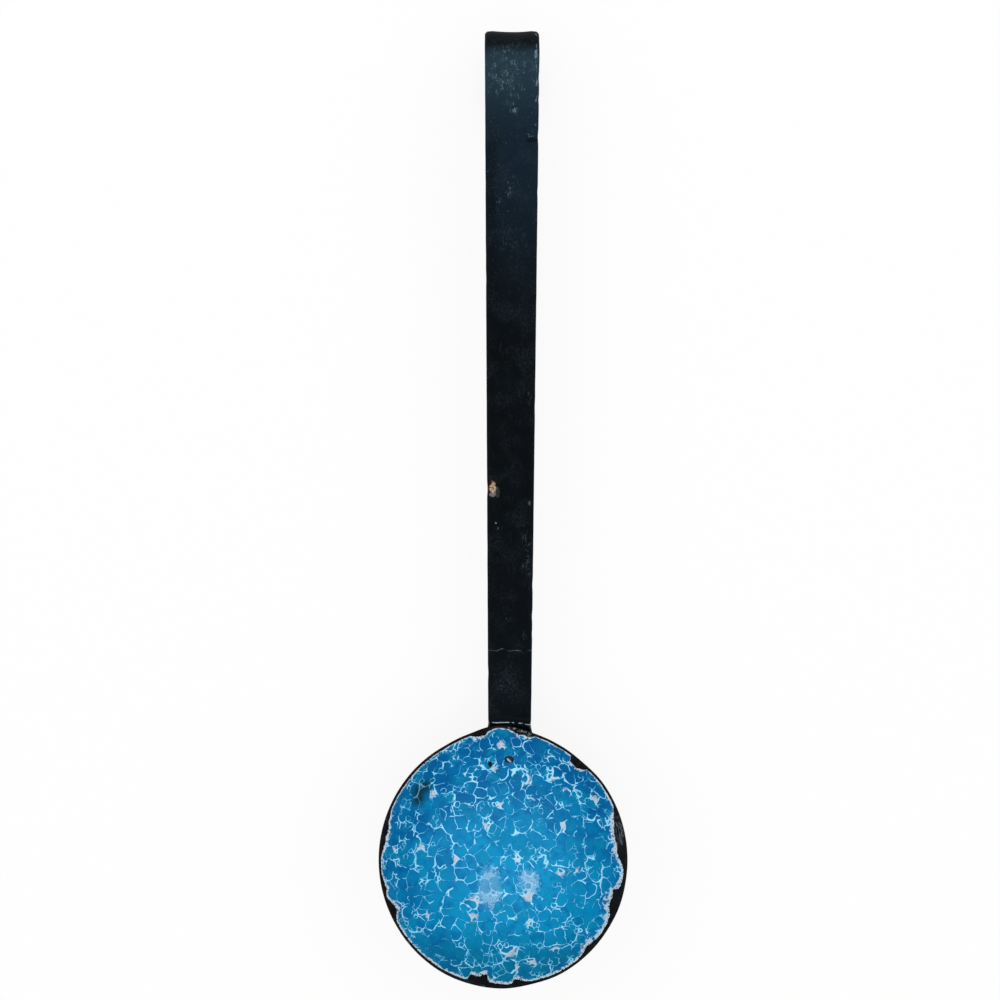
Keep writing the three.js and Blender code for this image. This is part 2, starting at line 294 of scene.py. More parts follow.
class Graph:
    """Writer of shader nodes into one tree."""

    def __init__(self, tree: bpy.types.NodeTree) -> None:
        """Takes the tree to write into."""
        self.tree = tree

    @classmethod
    def of_material(cls, name: str) -> tuple["Graph", bpy.types.Material, bpy.types.Node]:
        """Makes an empty material with its surface shader.

        Args:
            name: Name of the material.

        Returns:
            The graph, the material and its Principled shader.
        """
        material = bpy.data.materials.new(name)
        graph = cls.emptied(material)
        shader = graph.add("BsdfPrincipled")
        graph.add("OutputMaterial", {"Surface": shader.outputs[0]})
        return graph, material, shader

    @classmethod
    def emptied(cls, owner: bpy.types.Material | bpy.types.World) -> "Graph":
        """Empties the node tree of a material or a world.

        Args:
            owner: What the tree belongs to.

        Returns:
            A graph of the empty tree.
        """
        owner.use_nodes = True
        owner.node_tree.nodes.clear()
        return cls(owner.node_tree)

    def add(
        self, kind: str, feeds: dict[str | int, Feed] | None = None, **settings: object
    ) -> bpy.types.Node:
        """Adds a node.

        Args:
            kind: Node type, without its ShaderNode prefix.
            feeds: Links or plain values for its inputs.
            settings: Properties of the node itself.

        Returns:
            The node.
        """
        node = self.tree.nodes.new(f"ShaderNode{kind}")
        for name, value in settings.items():
            setattr(node, name, value)
        self.feed(node, feeds or {})
        return node

    def feed(self, node: bpy.types.Node, feeds: dict[str | int, Feed]) -> None:
        """Links outputs into a node's inputs, or sets their plain values.

        Args:
            node: Node to feed.
            feeds: Link or plain value for each input, by name or number.
        """
        for key, value in feeds.items():
            if isinstance(value, Socket):
                self.tree.links.new(value, node.inputs[key])
            else:
                node.inputs[key].default_value = value

    def math(self, operation: str, *terms: Feed) -> Socket:
        """Output of a Math node over the terms."""
        return self.add("Math", dict(enumerate(terms)), operation=operation).outputs[0]

    def vector(self, operation: str, *terms: Feed) -> Socket:
        """Output of a Vector Math node over the terms, a number where the operation gives one."""
        node = self.add("VectorMath", dict(enumerate(terms)), operation=operation)
        return node.outputs["Value" if operation in ("DISTANCE", "DOT_PRODUCT", "LENGTH") else "Vector"]

    def chain(self, operation: str, terms: Sequence[Feed]) -> Socket:
        """Carries a Math operation of two terms on over any number of them.

        Args:
            operation: Which operation.
            terms: Two terms or more.

        Returns:
            The result.
        """
        result = terms[0]
        for term in terms[1:]:
            result = self.math(operation, result, term)
        return result

    def times(self, *terms: Feed) -> Socket:
        """Product of the terms."""
        return self.chain("MULTIPLY", terms)

    def total(self, *terms: Feed) -> Socket:
        """Sum of the terms."""
        return self.chain("ADD", terms)

    def largest(self, *terms: Feed) -> Socket:
        """Largest of the terms."""
        return self.chain("MAXIMUM", terms)

    def smallest(self, *terms: Feed) -> Socket:
        """Smallest of the terms."""
        return self.chain("MINIMUM", terms)

    def minus(self, first: Feed, second: Feed) -> Socket:
        """First term less the second."""
        return self.math("SUBTRACT", first, second)

    def apart(self, first: Feed, second: Feed) -> Socket:
        """How far apart two values are."""
        return self.math("ABSOLUTE", self.minus(first, second))

    def clamped(self, value: Feed) -> Socket:
        """Value kept between 0 and 1."""
        return self.add("Clamp", {0: value}).outputs[0]

    def remap(
        self, value: Feed, low: float, high: float, first: Feed = 0.0, last: Feed = 1.0
    ) -> Socket:
        """Eases a value from one range to another.

        Args:
            value: What to map.
            low: Value that becomes first.
            high: Value that becomes last.
            first: Result at low and beyond.
            last: Result at high and beyond.

        Returns:
            The mapped value.
        """
        feeds = {0: value, 1: low, 2: high, 3: first, 4: last}
        return self.add("MapRange", feeds, interpolation_type="SMOOTHSTEP").outputs[0]

    def grain(
        self, place: Feed, scale: float, detail: float = 2.0, roughness: float = 0.5
    ) -> Socket:
        """Noise from 0 to 1, scale being cycles per unit of place."""
        feeds = {"Vector": place, "Scale": scale, "Detail": detail, "Roughness": roughness}
        return self.add("TexNoise", feeds).outputs[0]

    def pattern(self, place: Feed, pattern: Pattern) -> Socket:
        """Noise that is eased between the levels of a pattern."""
        raw = self.grain(place, pattern.scale, pattern.detail, pattern.roughness)
        return self.remap(raw, pattern.low, pattern.high, pattern.first, pattern.last)

    def lines(
        self, place: Feed, scale: float, detail: float, half_width: tuple[float, float]
    ) -> Socket:
        """Thin lines along which noise crosses its middle.

        Args:
            place: Where to draw them.
            scale: Cycles per unit of place.
            detail: How much finer noise bends them.
            half_width: How far the noise is off its middle where a line ends, and where it is full.

        Returns:
            0 off the lines and 1 on them.
        """
        return self.remap(self.apart(self.grain(place, scale, detail), 0.5), *half_width)

    def warp(self, place: Feed, scale: float, reach: float) -> Socket:
        """Shifts a place to and fro by noise.

        Args:
            place: Place to shift.
            scale: Cycles per unit of place.
            reach: Largest shift along each axis.

        Returns:
            The shifted place.
        """
        swirl = self.add("TexNoise", {"Vector": place, "Scale": scale, "Detail": 1.0}).outputs[1]
        centred = self.vector("SUBTRACT", swirl, (0.5,) * 3)
        return self.vector("MULTIPLY_ADD", centred, (2 * reach,) * 3, place)

    def net(self, place: Feed, size: float, feature: str = "F1") -> bpy.types.NodeOutputs:
        """Net of cells in the plane of place.

        Args:
            place: Where to measure.
            size: Size of the cells.
            feature: Which distance the net gives, in sizes of a cell.

        Returns:
            The outputs of the net's node.
        """
        feeds = {"Vector": place, "Scale": 1 / size}
        return self.add("TexVoronoi", feeds, feature=feature, voronoi_dimensions="2D").outputs

    def border(self, place: Feed, size: float) -> Socket:
        """Distance to the border of the cell of a net, in the units of place."""
        return self.times(self.net(place, size, "DISTANCE_TO_EDGE")["Distance"], size)

    def mix(self, share: Feed, first: Feed, second: Feed) -> Socket:
        """Colour at a share of the way from the first to the second."""
        return self.add("Mix", {0: share, 6: first, 7: second}, data_type="RGBA").outputs[2]

    def bump(self, height: Feed, strength: float, depth: float) -> Socket:
        """Normal of a relief that is depth millimetres high where height is 1."""
        feeds = {"Height": height, "Strength": strength, "Distance": depth * MM}
        return self.add("Bump", feeds).outputs[0]

    def own(self, name: str, output: str = "Fac") -> Socket:
        """Value, or Vector, that the mesh itself carries under a name."""
        return self.add("Attribute", attribute_name=name).outputs[output]

    def axis(self, place: Feed, name: str) -> Socket:
        """Coordinate of a place along the axis of that name."""
        return self.add("SeparateXYZ", {0: place}).outputs[name]

    def mapped(self, place: Feed, **feeds: Feed) -> Socket:
        """Place moved, turned or scaled by a Mapping node."""
        return self.add("Mapping", {"Vector": place, **feeds}).outputs[0]

    def ladle_place(self, seat: Seat) -> Socket:
        """Place in the ladle's own frame.

        Args:
            seat: Where the ladle lies.

        Returns:
            The place, in millimetres.
        """
        place = self.add("TexCoord").outputs["Object"]
        origin = Matrix.Rotation(seat.lean, 3, "X") @ -seat.centre
        return self.mapped(place, Location=origin, Rotation=(seat.lean, 0, 0), Scale=(1 / MM,) * 3)

    def nearness(self, place: Feed, spots: Sequence[tuple[Vector, float]]) -> Socket:
        """Distance to the nearest of several spots, as a share of that spot's radius.

        Args:
            place: Where to measure from.
            spots: Middle and radius of each spot.

        Returns:
            0 in the middle of a spot and 1 at its edge.
        """
        shares = []
        for middle, radius in spots:
            shares.append(self.math("DIVIDE", self.vector("DISTANCE", place, middle), radius))
        return self.smallest(*shares)


class Effect(Enum):
    """Node groups that several finishes share, with their inputs and outputs."""

    SPOT = (
        "ragged_spot",
        {"Place": "Vector", "Middle": "Vector", "Reach": "Vector", "Rag": "Float"},
        ("Mask", "Away"),
    )
    SKIN = ("fired_skin", {"Place": "Vector", "Pitting": "Float"}, ("Height", "Dullness"))
    WEAR = ("handling_wear", {"Place": "Vector", "Amount": "Float"}, ("Specks", "Scuffs"))


class EffectShelf:
    """Makes each shared node group once and places it in a finish."""

    PIN_HOLES = Pattern(1.6, 1.0, low=0.7, high=0.62)
    WORN_AREAS = Pattern(0.11, low=0.48, high=0.68)
    KNOCKS = Pattern(1.3, 4.0, 0.75, 0.64, 0.72)
    DULL_SPAN = (0.3, 0.7)

    def __init__(self) -> None:
        """Builds the groups."""
        writers = {Effect.SPOT: self._spot, Effect.SKIN: self._skin, Effect.WEAR: self._wear}
        self.trees = {effect: self._group(effect, write) for effect, write in writers.items()}

    def place(self, graph: Graph, effect: Effect, **feeds: Feed) -> bpy.types.NodeOutputs:
        """Puts an effect into a finish.

        Args:
            graph: Graph of the finish.
            effect: Which effect.
            feeds: Its inputs, by name.

        Returns:
            The outputs of the group's node.
        """
        return graph.add("Group", feeds, node_tree=self.trees[effect]).outputs

    def dulled(self, graph: Graph, skin: bpy.types.NodeOutputs, low: float, high: float) -> Socket:
        """Value that rises from low to high with the dullness of a fired skin."""
        return graph.remap(skin["Dullness"], *self.DULL_SPAN, low, high)

    @staticmethod
    def _group(
        effect: Effect, write: Callable[[Graph, bpy.types.NodeOutputs], tuple[Socket, Socket]]
    ) -> bpy.types.NodeTree:
        """Builds one group.

        Args:
            effect: Names of the group and of its sockets.
            write: Writes the group's nodes and gives its outputs.

        Returns:
            The group's tree.
        """
        name, inputs, outputs = effect.value
        tree = bpy.data.node_groups.new(name, "ShaderNodeTree")
        for socket, kind in inputs.items():
            tree.interface.new_socket(socket, in_out="INPUT", socket_type=f"NodeSocket{kind}")
        for socket in outputs:
            tree.interface.new_socket(socket, in_out="OUTPUT", socket_type="NodeSocketFloat")
        given = tree.nodes.new("NodeGroupInput").outputs
        result = tree.nodes.new("NodeGroupOutput")
        for socket, value in zip(outputs, write(Graph(tree), given)):
            tree.links.new(value, result.inputs[socket])
        return tree

    @staticmethod
    def _spot(graph: Graph, given: bpy.types.NodeOutputs) -> tuple[Socket, Socket]:
        """Writes a soft spot whose outline is torn by noise.

        Args:
            graph: Graph of the group.
            given: The group's inputs.

        Returns:
            The spot's mask, and the way out of it as a share of its reach.
        """
        offset = graph.vector("SUBTRACT", given["Place"], given["Middle"])
        away = graph.vector("LENGTH", graph.vector("DIVIDE", offset, given["Reach"]))
        torn = graph.minus(graph.grain(given["Place"], 0.9, 3.0, 0.6), 0.5)
        edge = graph.math("MULTIPLY_ADD", torn, given["Rag"], away)
        return graph.remap(edge, 1.0, 0.7), edge

    @classmethod
    def _skin(cls, graph: Graph, given: bpy.types.NodeOutputs) -> tuple[Socket, Socket]:
        """Writes the uneven surface of fired enamel, with its pin holes.

        Args:
            graph: Graph of the group.
            given: The group's inputs.

        Returns:
            The height of the surface, and how dull it is.
        """
        place = given["Place"]
        holes = graph.minus(graph.pattern(place, cls.PIN_HOLES), 1.0)
        swell = graph.grain(place, 0.35)
        height = graph.total(swell, graph.times(holes, given["Pitting"]))
        return height, graph.grain(place, 0.12, 4.0, 0.65)

    @classmethod
    def _wear(cls, graph: Graph, given: bpy.types.NodeOutputs) -> tuple[Socket, Socket]:
        """Writes small knocks and fine scuffs from use.

        Args:
            graph: Graph of the group.
            given: The group's inputs.

        Returns:
            The knocks, and the scuffs.
        """
        place = given["Place"]
        share = graph.times(graph.pattern(place, cls.WORN_AREAS), given["Amount"])
        drawn = graph.mapped(place, Scale=(1.3, 0.2, 1.3), Rotation=(0, 0, 0.5))
        scuffs = graph.lines(drawn, 0.7, 2.0, (0.018, 0.004))
        return graph.times(graph.pattern(place, cls.KNOCKS), share), graph.times(scuffs, share)


# Finishes


@dataclass(frozen=True)
class BowlSpot:
    """Round spot on the bowl: degrees round it and from its bottom, and its radius in millimetres."""

    direction: float
    polar: float
    radius: float

    def on_face(self, face: float) -> tuple[Vector, float]:
        """Middle of the spot on the laid-out face of that radius, and the spot's own radius."""
        return laid_out(self.direction, self.polar, face), self.radius


@dataclass(frozen=True)
class ReflectionPatch:
    """Painted reflection in the bottom of the bowl, a grainy pale patch: where it is, and its half size
    across and along.
    """

    direction: float
    polar: float
    half_size: tuple[float, float]


@dataclass(frozen=True)
class Foam:
    """Outputs that draw the white web of the mottled enamel.

    The web is 0 in a cell and 1 in the core of a vein, and the halo lies beside the veins. Out is the
    millimetres out of the nearest cell, and lot is that cell's own number from 0 to 1.
    """

    web: Socket
    halo: Socket
    out: Socket
    lot: Socket


@dataclass(frozen=True)
class MottledEnamel:
    """Blue enamel with a broken white net, chipped at its edge."""

    # Of the blues below, royal, azure and teal are lit and shaded copies of the lining's blue: painted
    # light in the bottom, painted shade up the walls and down the front wall.
    shaded_royal: Colour = paint(5, 101, 158)
    deep: Colour = paint(3, 88, 152)
    aqua: Colour = paint(8, 150, 184)
    lit_azure: Colour = paint(7, 156, 206)
    shaded_teal: Colour = paint(8, 108, 140)
    pale: Colour = paint(98, 204, 246)
    white: Colour = paint(184, 236, 254)
    grey: Colour = paint(210, 217, 222)
    # Pale colour of the painted reflection in the bottom of the bowl.
    reflected_window: Colour = paint(168, 212, 240)
    fringe: Colour = paint(204, 220, 230)
    stain: Colour = paint(10, 42, 40)
    tan: Colour = paint(84, 104, 92)
    grit: Colour = paint(104, 98, 92)
    ground: Colour = paint(12, 11, 11)
    shine: float = 0.09
    cell: float = 5.1
    mid_cell: float = 3.1
    small_cell: float = 2.7
    glint_grain_cell: float = 0.95
    vein: float = 0.21
    knot: float = 0.19
    corner: float = 0.2
    softness: float = 0.28
    tan_share: float = 0.8
    # Middle of the painted light in the bottom of the bowl, on the laid-out face.
    bottom: Triple = (2, -24, 0)
    rightwards: Triple = (1.0, -0.25, 0.0)
    waves: tuple[tuple[float, float], ...] = ((0.09, 2.2), (0.24, 1.3), (0.55, 0.35))
    mid_waves: tuple[tuple[float, float], ...] = ((0.3, 1.0), (0.7, 0.25))
    slackness: Pattern = Pattern(0.1, low=0.5, high=0.66, first=1.0, last=0.7)
    breaks: Pattern = Pattern(0.24, 3.0, 0.5, 0.35, 0.55, -0.27, 0.05)
    drift: Pattern = Pattern(0.07, 3.0, 0.5, 0.35, 0.65, -0.2, 0.2)
    patches: Pattern = Pattern(0.9, 4.0, 0.7, 0.36, 0.56, 0.5, 0.95)
    glint_clouds: Pattern = Pattern(0.9, 6.0, 0.85, 0.38, 0.58, 0.15, 0.7)
    fringes: Pattern = Pattern(0.5, 4.0, 0.7, 0.36, 0.62, 0.0, 1.2)
    bites: Pattern = Pattern(1.1, 3.0, 0.7, 0.52, 0.64, -0.4, 0.8)
    dots: Pattern = Pattern(2.2, low=0.64, high=0.7)
    # Painted reflections of a window: two grainy pale patches in the bottom of the bowl.
    reflection_patches: tuple[ReflectionPatch, ...] = (ReflectionPatch(-114, 15.5, (5.2, 9.5)), ReflectionPatch(-44, 17, (5.0, 5.5)))
    stains: tuple[BowlSpot, ...] = (
        BowlSpot(139.5, 55.5, 3.6), BowlSpot(143.0, 56.5, 4.2), BowlSpot(146.5, 54.5, 3.8),
    )
    blotches: tuple[BowlSpot, ...] = tuple(BowlSpot(*spot) for spot in (
        (91, 58, 1.6), (103, 67, 1.5), (73, 39, 2.4), (58, 49, 2.6), (63, 58, 1.6), (45, 46, 1.7),
        (37, 52, 1.3), (31, 58, 2.0), (27, 34, 1.8), (62, 31, 1.2), (93, 24, 1.3), (96, 44, 1.4),
        (18, 61, 1.6), (139, 48, 1.6), (120, 16, 1.3), (153, 14, 1.2), (175, 41, 1.6), (177, 59, 1.4),
        (-177, 22, 1.7), (-5, 7, 1.5), (-123, 25, 2.4), (-117, 32, 1.8), (-56, 22, 2.2), (-15, 29, 1.6),
        (-91, 27, 1.5), (-86, 46, 2.6), (-83, 57, 1.5), (-74, 56, 1.6), (-60, 54, 1.6), (-67, 34, 1.4),
        (-100, 39, 1.5), (-143, 47, 1.6), (-10, 38, 1.3), (-38, 67, 1.7), (110, 43, 1.3), (123, 58, 1.5),
        (116, 58, 1.3),
    ))

    def material(self, shelf: EffectShelf, radius: float) -> bpy.types.Material:
        """Makes the finish.

        Args:
            shelf: Shared effects.
            radius: Radius of the lining's face.

        Returns:
            The material.
        """
        graph, material, shader = Graph.of_material("mottled_blue_enamel")
        place = graph.own("laid_out", "Vector")
        near = graph.nearness(graph.warp(place, 0.7, 1.3), [spot.on_face(radius) for spot in self.blotches])
        stain = graph.nearness(graph.warp(place, 0.4, 0.8), [spot.on_face(radius) for spot in self.stains])
        stained = graph.remap(stain, 1.5, 0.2, 0.0, 0.85)
        # Painted reflection of a window, as grainy pale patches in the bottom of the bowl.
        reflected = self._reflection_share(graph, shelf, place, radius)
        foam = self._foam(graph, place, near, reflected)
        colour = self._ground(graph, place, foam, stained)
        colour = self._veined(graph, colour, place, foam, near)
        tanned = graph.times(stained, graph.remap(foam.web, 0.0, 0.5), self.tan_share)
        colour = graph.mix(tanned, colour, self.tan)
        colour = self._painted_reflection(graph, colour, place, foam, reflected)
        colour = self._chipped(graph, colour, place)
        dots = graph.times(graph.pattern(place, self.dots), graph.remap(near, 0.7, 0.3))
        skin = shelf.place(graph, Effect.SKIN, Place=place, Pitting=0.25)
        relief = graph.math("MULTIPLY_ADD", foam.web, -0.25, skin["Height"])
        graph.feed(shader, {
            "Base Color": graph.mix(dots, colour, self.grit),
            "Roughness": shelf.dulled(graph, skin, 0.3, 0.5),
            "Normal": graph.bump(relief, 0.35, 0.1),
            "Specular IOR Level": self.shine,
        })
        return material

    def _reflection_share(self, graph: Graph, shelf: EffectShelf, place: Feed, radius: float) -> Socket:
        """Share of the painted reflection in the bottom of the bowl, two grainy pale patches.

        Args:
            graph: Graph to write into.
            shelf: Shared effects.
            place: Place on the laid-out lining.
            radius: Radius of the lining's face.

        Returns:
            0 off the painted reflection and 1 in it.
        """
        masks = []
        for reflected_window in self.reflection_patches:
            middle = laid_out(reflected_window.direction, reflected_window.polar, radius)
            feeds = {"Place": place, "Middle": middle, "Reach": (*reflected_window.half_size, 1.0), "Rag": 1.8}
            masks.append(shelf.place(graph, Effect.SPOT, **feeds)["Mask"])
        return graph.largest(*masks)

    @staticmethod
    def _wavy(graph: Graph, place: Feed, waves: Sequence[tuple[float, float]]) -> Feed:
        """Place with the waves that bend the veins.

        Args:
            graph: Graph to write into.
            place: Place on the laid-out lining.
            waves: Cycles per millimetre and reach of each wave.

        Returns:
            The shifted place.
        """
        for scale, reach in waves:
            place = graph.warp(place, scale, reach)
        return place

    def _foam(self, graph: Graph, place: Feed, near: Feed, reflected: Feed) -> Foam:
        """White web: broken veins round big rounded cells, some of them parted, with bubbles in the gaps.

        Args:
            graph: Graph to write into.
            place: Place on the laid-out lining.
            near: Share of the way out of the nearest blotch.
            reflected: Share of the painted reflection, where the cells stand apart.

        Returns:
            The outputs of the web.
        """
        wavy = self._wavy(graph, place, self.waves)
        cell = graph.net(wavy, self.cell)
        lots = graph.add("SeparateColor", {0: cell["Color"]}).outputs
        slack = graph.times(graph.pattern(place, self.slackness), graph.remap(reflected, 0.0, 1.0, 1.0, 0.76))
        loose = graph.times(graph.remap(near, 2.4, 0.7, 1.0, 0.7), slack)
        swell = graph.times(graph.remap(lots[0], 0.0, 1.0, 0.52, 0.86), loose)
        out = graph.times(graph.minus(cell["Distance"], swell), self.cell)
        beyond = graph.largest(graph.times(graph.border(wavy, self.cell), -1.0), out)
        skin = graph.largest(graph.times(beyond, -1.0), graph.minus(beyond, self.corner))
        middle_net = graph.border(self._wavy(graph, place, self.mid_waves), self.mid_cell)
        parted = graph.total(middle_net, graph.remap(lots[2], 0.66, 0.7, 2.0, 0.05))
        bubble = self._bubbles(graph, place)
        veins = graph.largest(graph.smallest(skin, parted), graph.times(bubble, -1.0))
        gap = graph.smallest(veins, graph.math("ABSOLUTE", bubble))
        faint = graph.remap(lots[1], 0.1, 0.5, -0.18, 0.0)
        fat = graph.remap(near, 2.0, 0.6, 0.0, 0.25)
        knot = graph.remap(cell["Distance"], 0.55, 0.85, self.vein, self.vein + self.knot)
        width = graph.total(graph.pattern(place, self.breaks), faint, fat, knot)
        spare = graph.minus(width, gap)
        web = graph.clamped(graph.math("DIVIDE", spare, self.softness))
        return Foam(web, graph.remap(spare, -0.5, -0.05), graph.smallest(out, bubble), lots[2])

    def _bubbles(self, graph: Graph, place: Feed) -> Socket:
        """Millimetres out of the nearest of the small round bubbles that sit whole on the veins.

        Args:
            graph: Graph to write into.
            place: Place on the laid-out lining.

        Returns:
            The distance, below 0 in a bubble.
        """
        lumpy = graph.warp(place, 0.5, 0.3)
        bubble = graph.net(lumpy, self.small_cell)
        lots = graph.add("SeparateColor", {0: bubble["Color"]}).outputs
        swell = graph.remap(lots[0], 0.0, 1.0, 0.26, 0.46)
        out = graph.times(graph.minus(bubble["Distance"], swell), self.small_cell)
        beyond = graph.largest(graph.times(graph.border(lumpy, self.small_cell), -1.0), out)
        vein = graph.border(self._wavy(graph, bubble["Position"], self.waves), self.cell)
        kept = graph.times(graph.remap(vein, 0.9, 0.8), graph.remap(lots[1], 0.64, 0.66))
        return graph.total(beyond, graph.remap(kept, 0.0, 1.0, 4.0, 0.0))

    def _ground(self, graph: Graph, place: Feed, foam: Foam, stained: Feed) -> Socket:
        """Blue between the veins, with painted light and shade: lighter in the bottom of the bowl, deeper
        by the handle and darker down the front wall, mottled and stained in places.

        Args:
            graph: Graph to write into.
            place: Place on the laid-out lining.
            foam: The web that lies in it.
            stained: Share of the dark stain on the left wall.

        Returns:
            The colour.
        """
        # Painted light and shade: the blue grows lighter towards the bottom of the bowl, deeper up the
        # walls, and darker down the front wall.
        away = graph.vector("DISTANCE", place, self.bottom)
        light = graph.total(graph.remap(away, 76.0, 8.0), graph.pattern(place, self.drift))
        colour = graph.mix(graph.clamped(light), self.shaded_royal, self.lit_azure)
        low = graph.remap(graph.axis(place, "Y"), -24.0, -46.0, 0.0, 0.75)
        colour = graph.mix(low, colour, self.shaded_teal)
        tone = graph.math("MULTIPLY_ADD", foam.lot, 0.3, graph.grain(place, 0.3, 4.0, 0.6))
        colour = graph.mix(graph.remap(tone, 0.62, 0.4, 0.0, 0.45), colour, self.deep)
        colour = graph.mix(graph.remap(tone, 0.64, 0.88, 0.0, 0.6), colour, self.aqua)
        colour = graph.mix(graph.times(foam.halo, 0.2), colour, self.deep)
        return graph.mix(stained, colour, self.stain)

    def _veined(self, graph: Graph, colour: Feed, place: Feed, foam: Foam, near: Feed) -> Socket:
        """Paints the white veins, and the grey blotches where they run together.

        Args:
            graph: Graph to write into.
            colour: Colour so far.
            place: Place on the laid-out lining.
            foam: The web.
            near: Share of the way out of the nearest blotch.

        Returns:
            The painted colour.
        """
        colour = graph.mix(graph.remap(foam.web, 0.0, 0.6), colour, self.pale)
        colour = graph.mix(graph.remap(foam.web, 0.5, 1.0), colour, self.white)
        filled = graph.times(graph.remap(near, 1.25, 0.6), graph.remap(foam.out, -0.5, 0.15))
        return graph.mix(graph.times(filled, graph.pattern(place, self.patches)), colour, self.grey)

    def _painted_reflection(self, graph: Graph, colour: Feed, place: Feed, foam: Foam, reflected: Feed) -> Socket:
        """Paints the reflection in the bottom of the bowl, grainy like fine bubbles and thinner inside the
        cells.

        Args:
            graph: Graph to write into.
            colour: Colour so far.
            place: Place on the laid-out lining.
            foam: The web.
            reflected: Share of the painted reflection.

        Returns:
            The painted colour.
        """
        glint_grain = graph.border(graph.warp(place, 0.9, 0.25), self.glint_grain_cell)
        cloud = graph.largest(graph.pattern(place, self.glint_clouds), graph.remap(glint_grain, 0.2, 0.03))
        between = graph.times(cloud, graph.remap(foam.out, -0.7, 0.0, 0.36, 1.0))
        return graph.mix(graph.times(reflected, between), colour, self.reflected_window)

    def _chipped(self, graph: Graph, colour: Feed, place: Feed) -> Socket:
        """Paints the white fringe along the chipped edge, and the bites through to the black ground.

        Args:
            graph: Graph to write into.
            colour: Colour so far.
            place: Place on the laid-out lining.

        Returns:
            The painted colour.
        """
        gap = graph.own("edge_gap")
        lower = graph.remap(graph.axis(place, "Y"), 30.0, -40.0, 0.7, 1.4)
        chipped = graph.times(graph.remap(graph.own("chip"), 0.2, 3.0, 0.5, 1.5), lower)
        right = graph.remap(graph.vector("DOT_PRODUCT", place, self.rightwards), 20.0, 60.0, 1.0, 2.3)
        reach = graph.times(graph.pattern(place, self.fringes), chipped, right)
        fringed = graph.remap(graph.minus(gap, reach), 0.25, -0.15, 0.0, 0.95)
        colour = graph.mix(fringed, colour, self.fringe)
        bites = graph.times(graph.pattern(place, self.bites), chipped)
        return graph.mix(graph.remap(graph.minus(gap, bites), 0.1, -0.1), colour, self.ground)


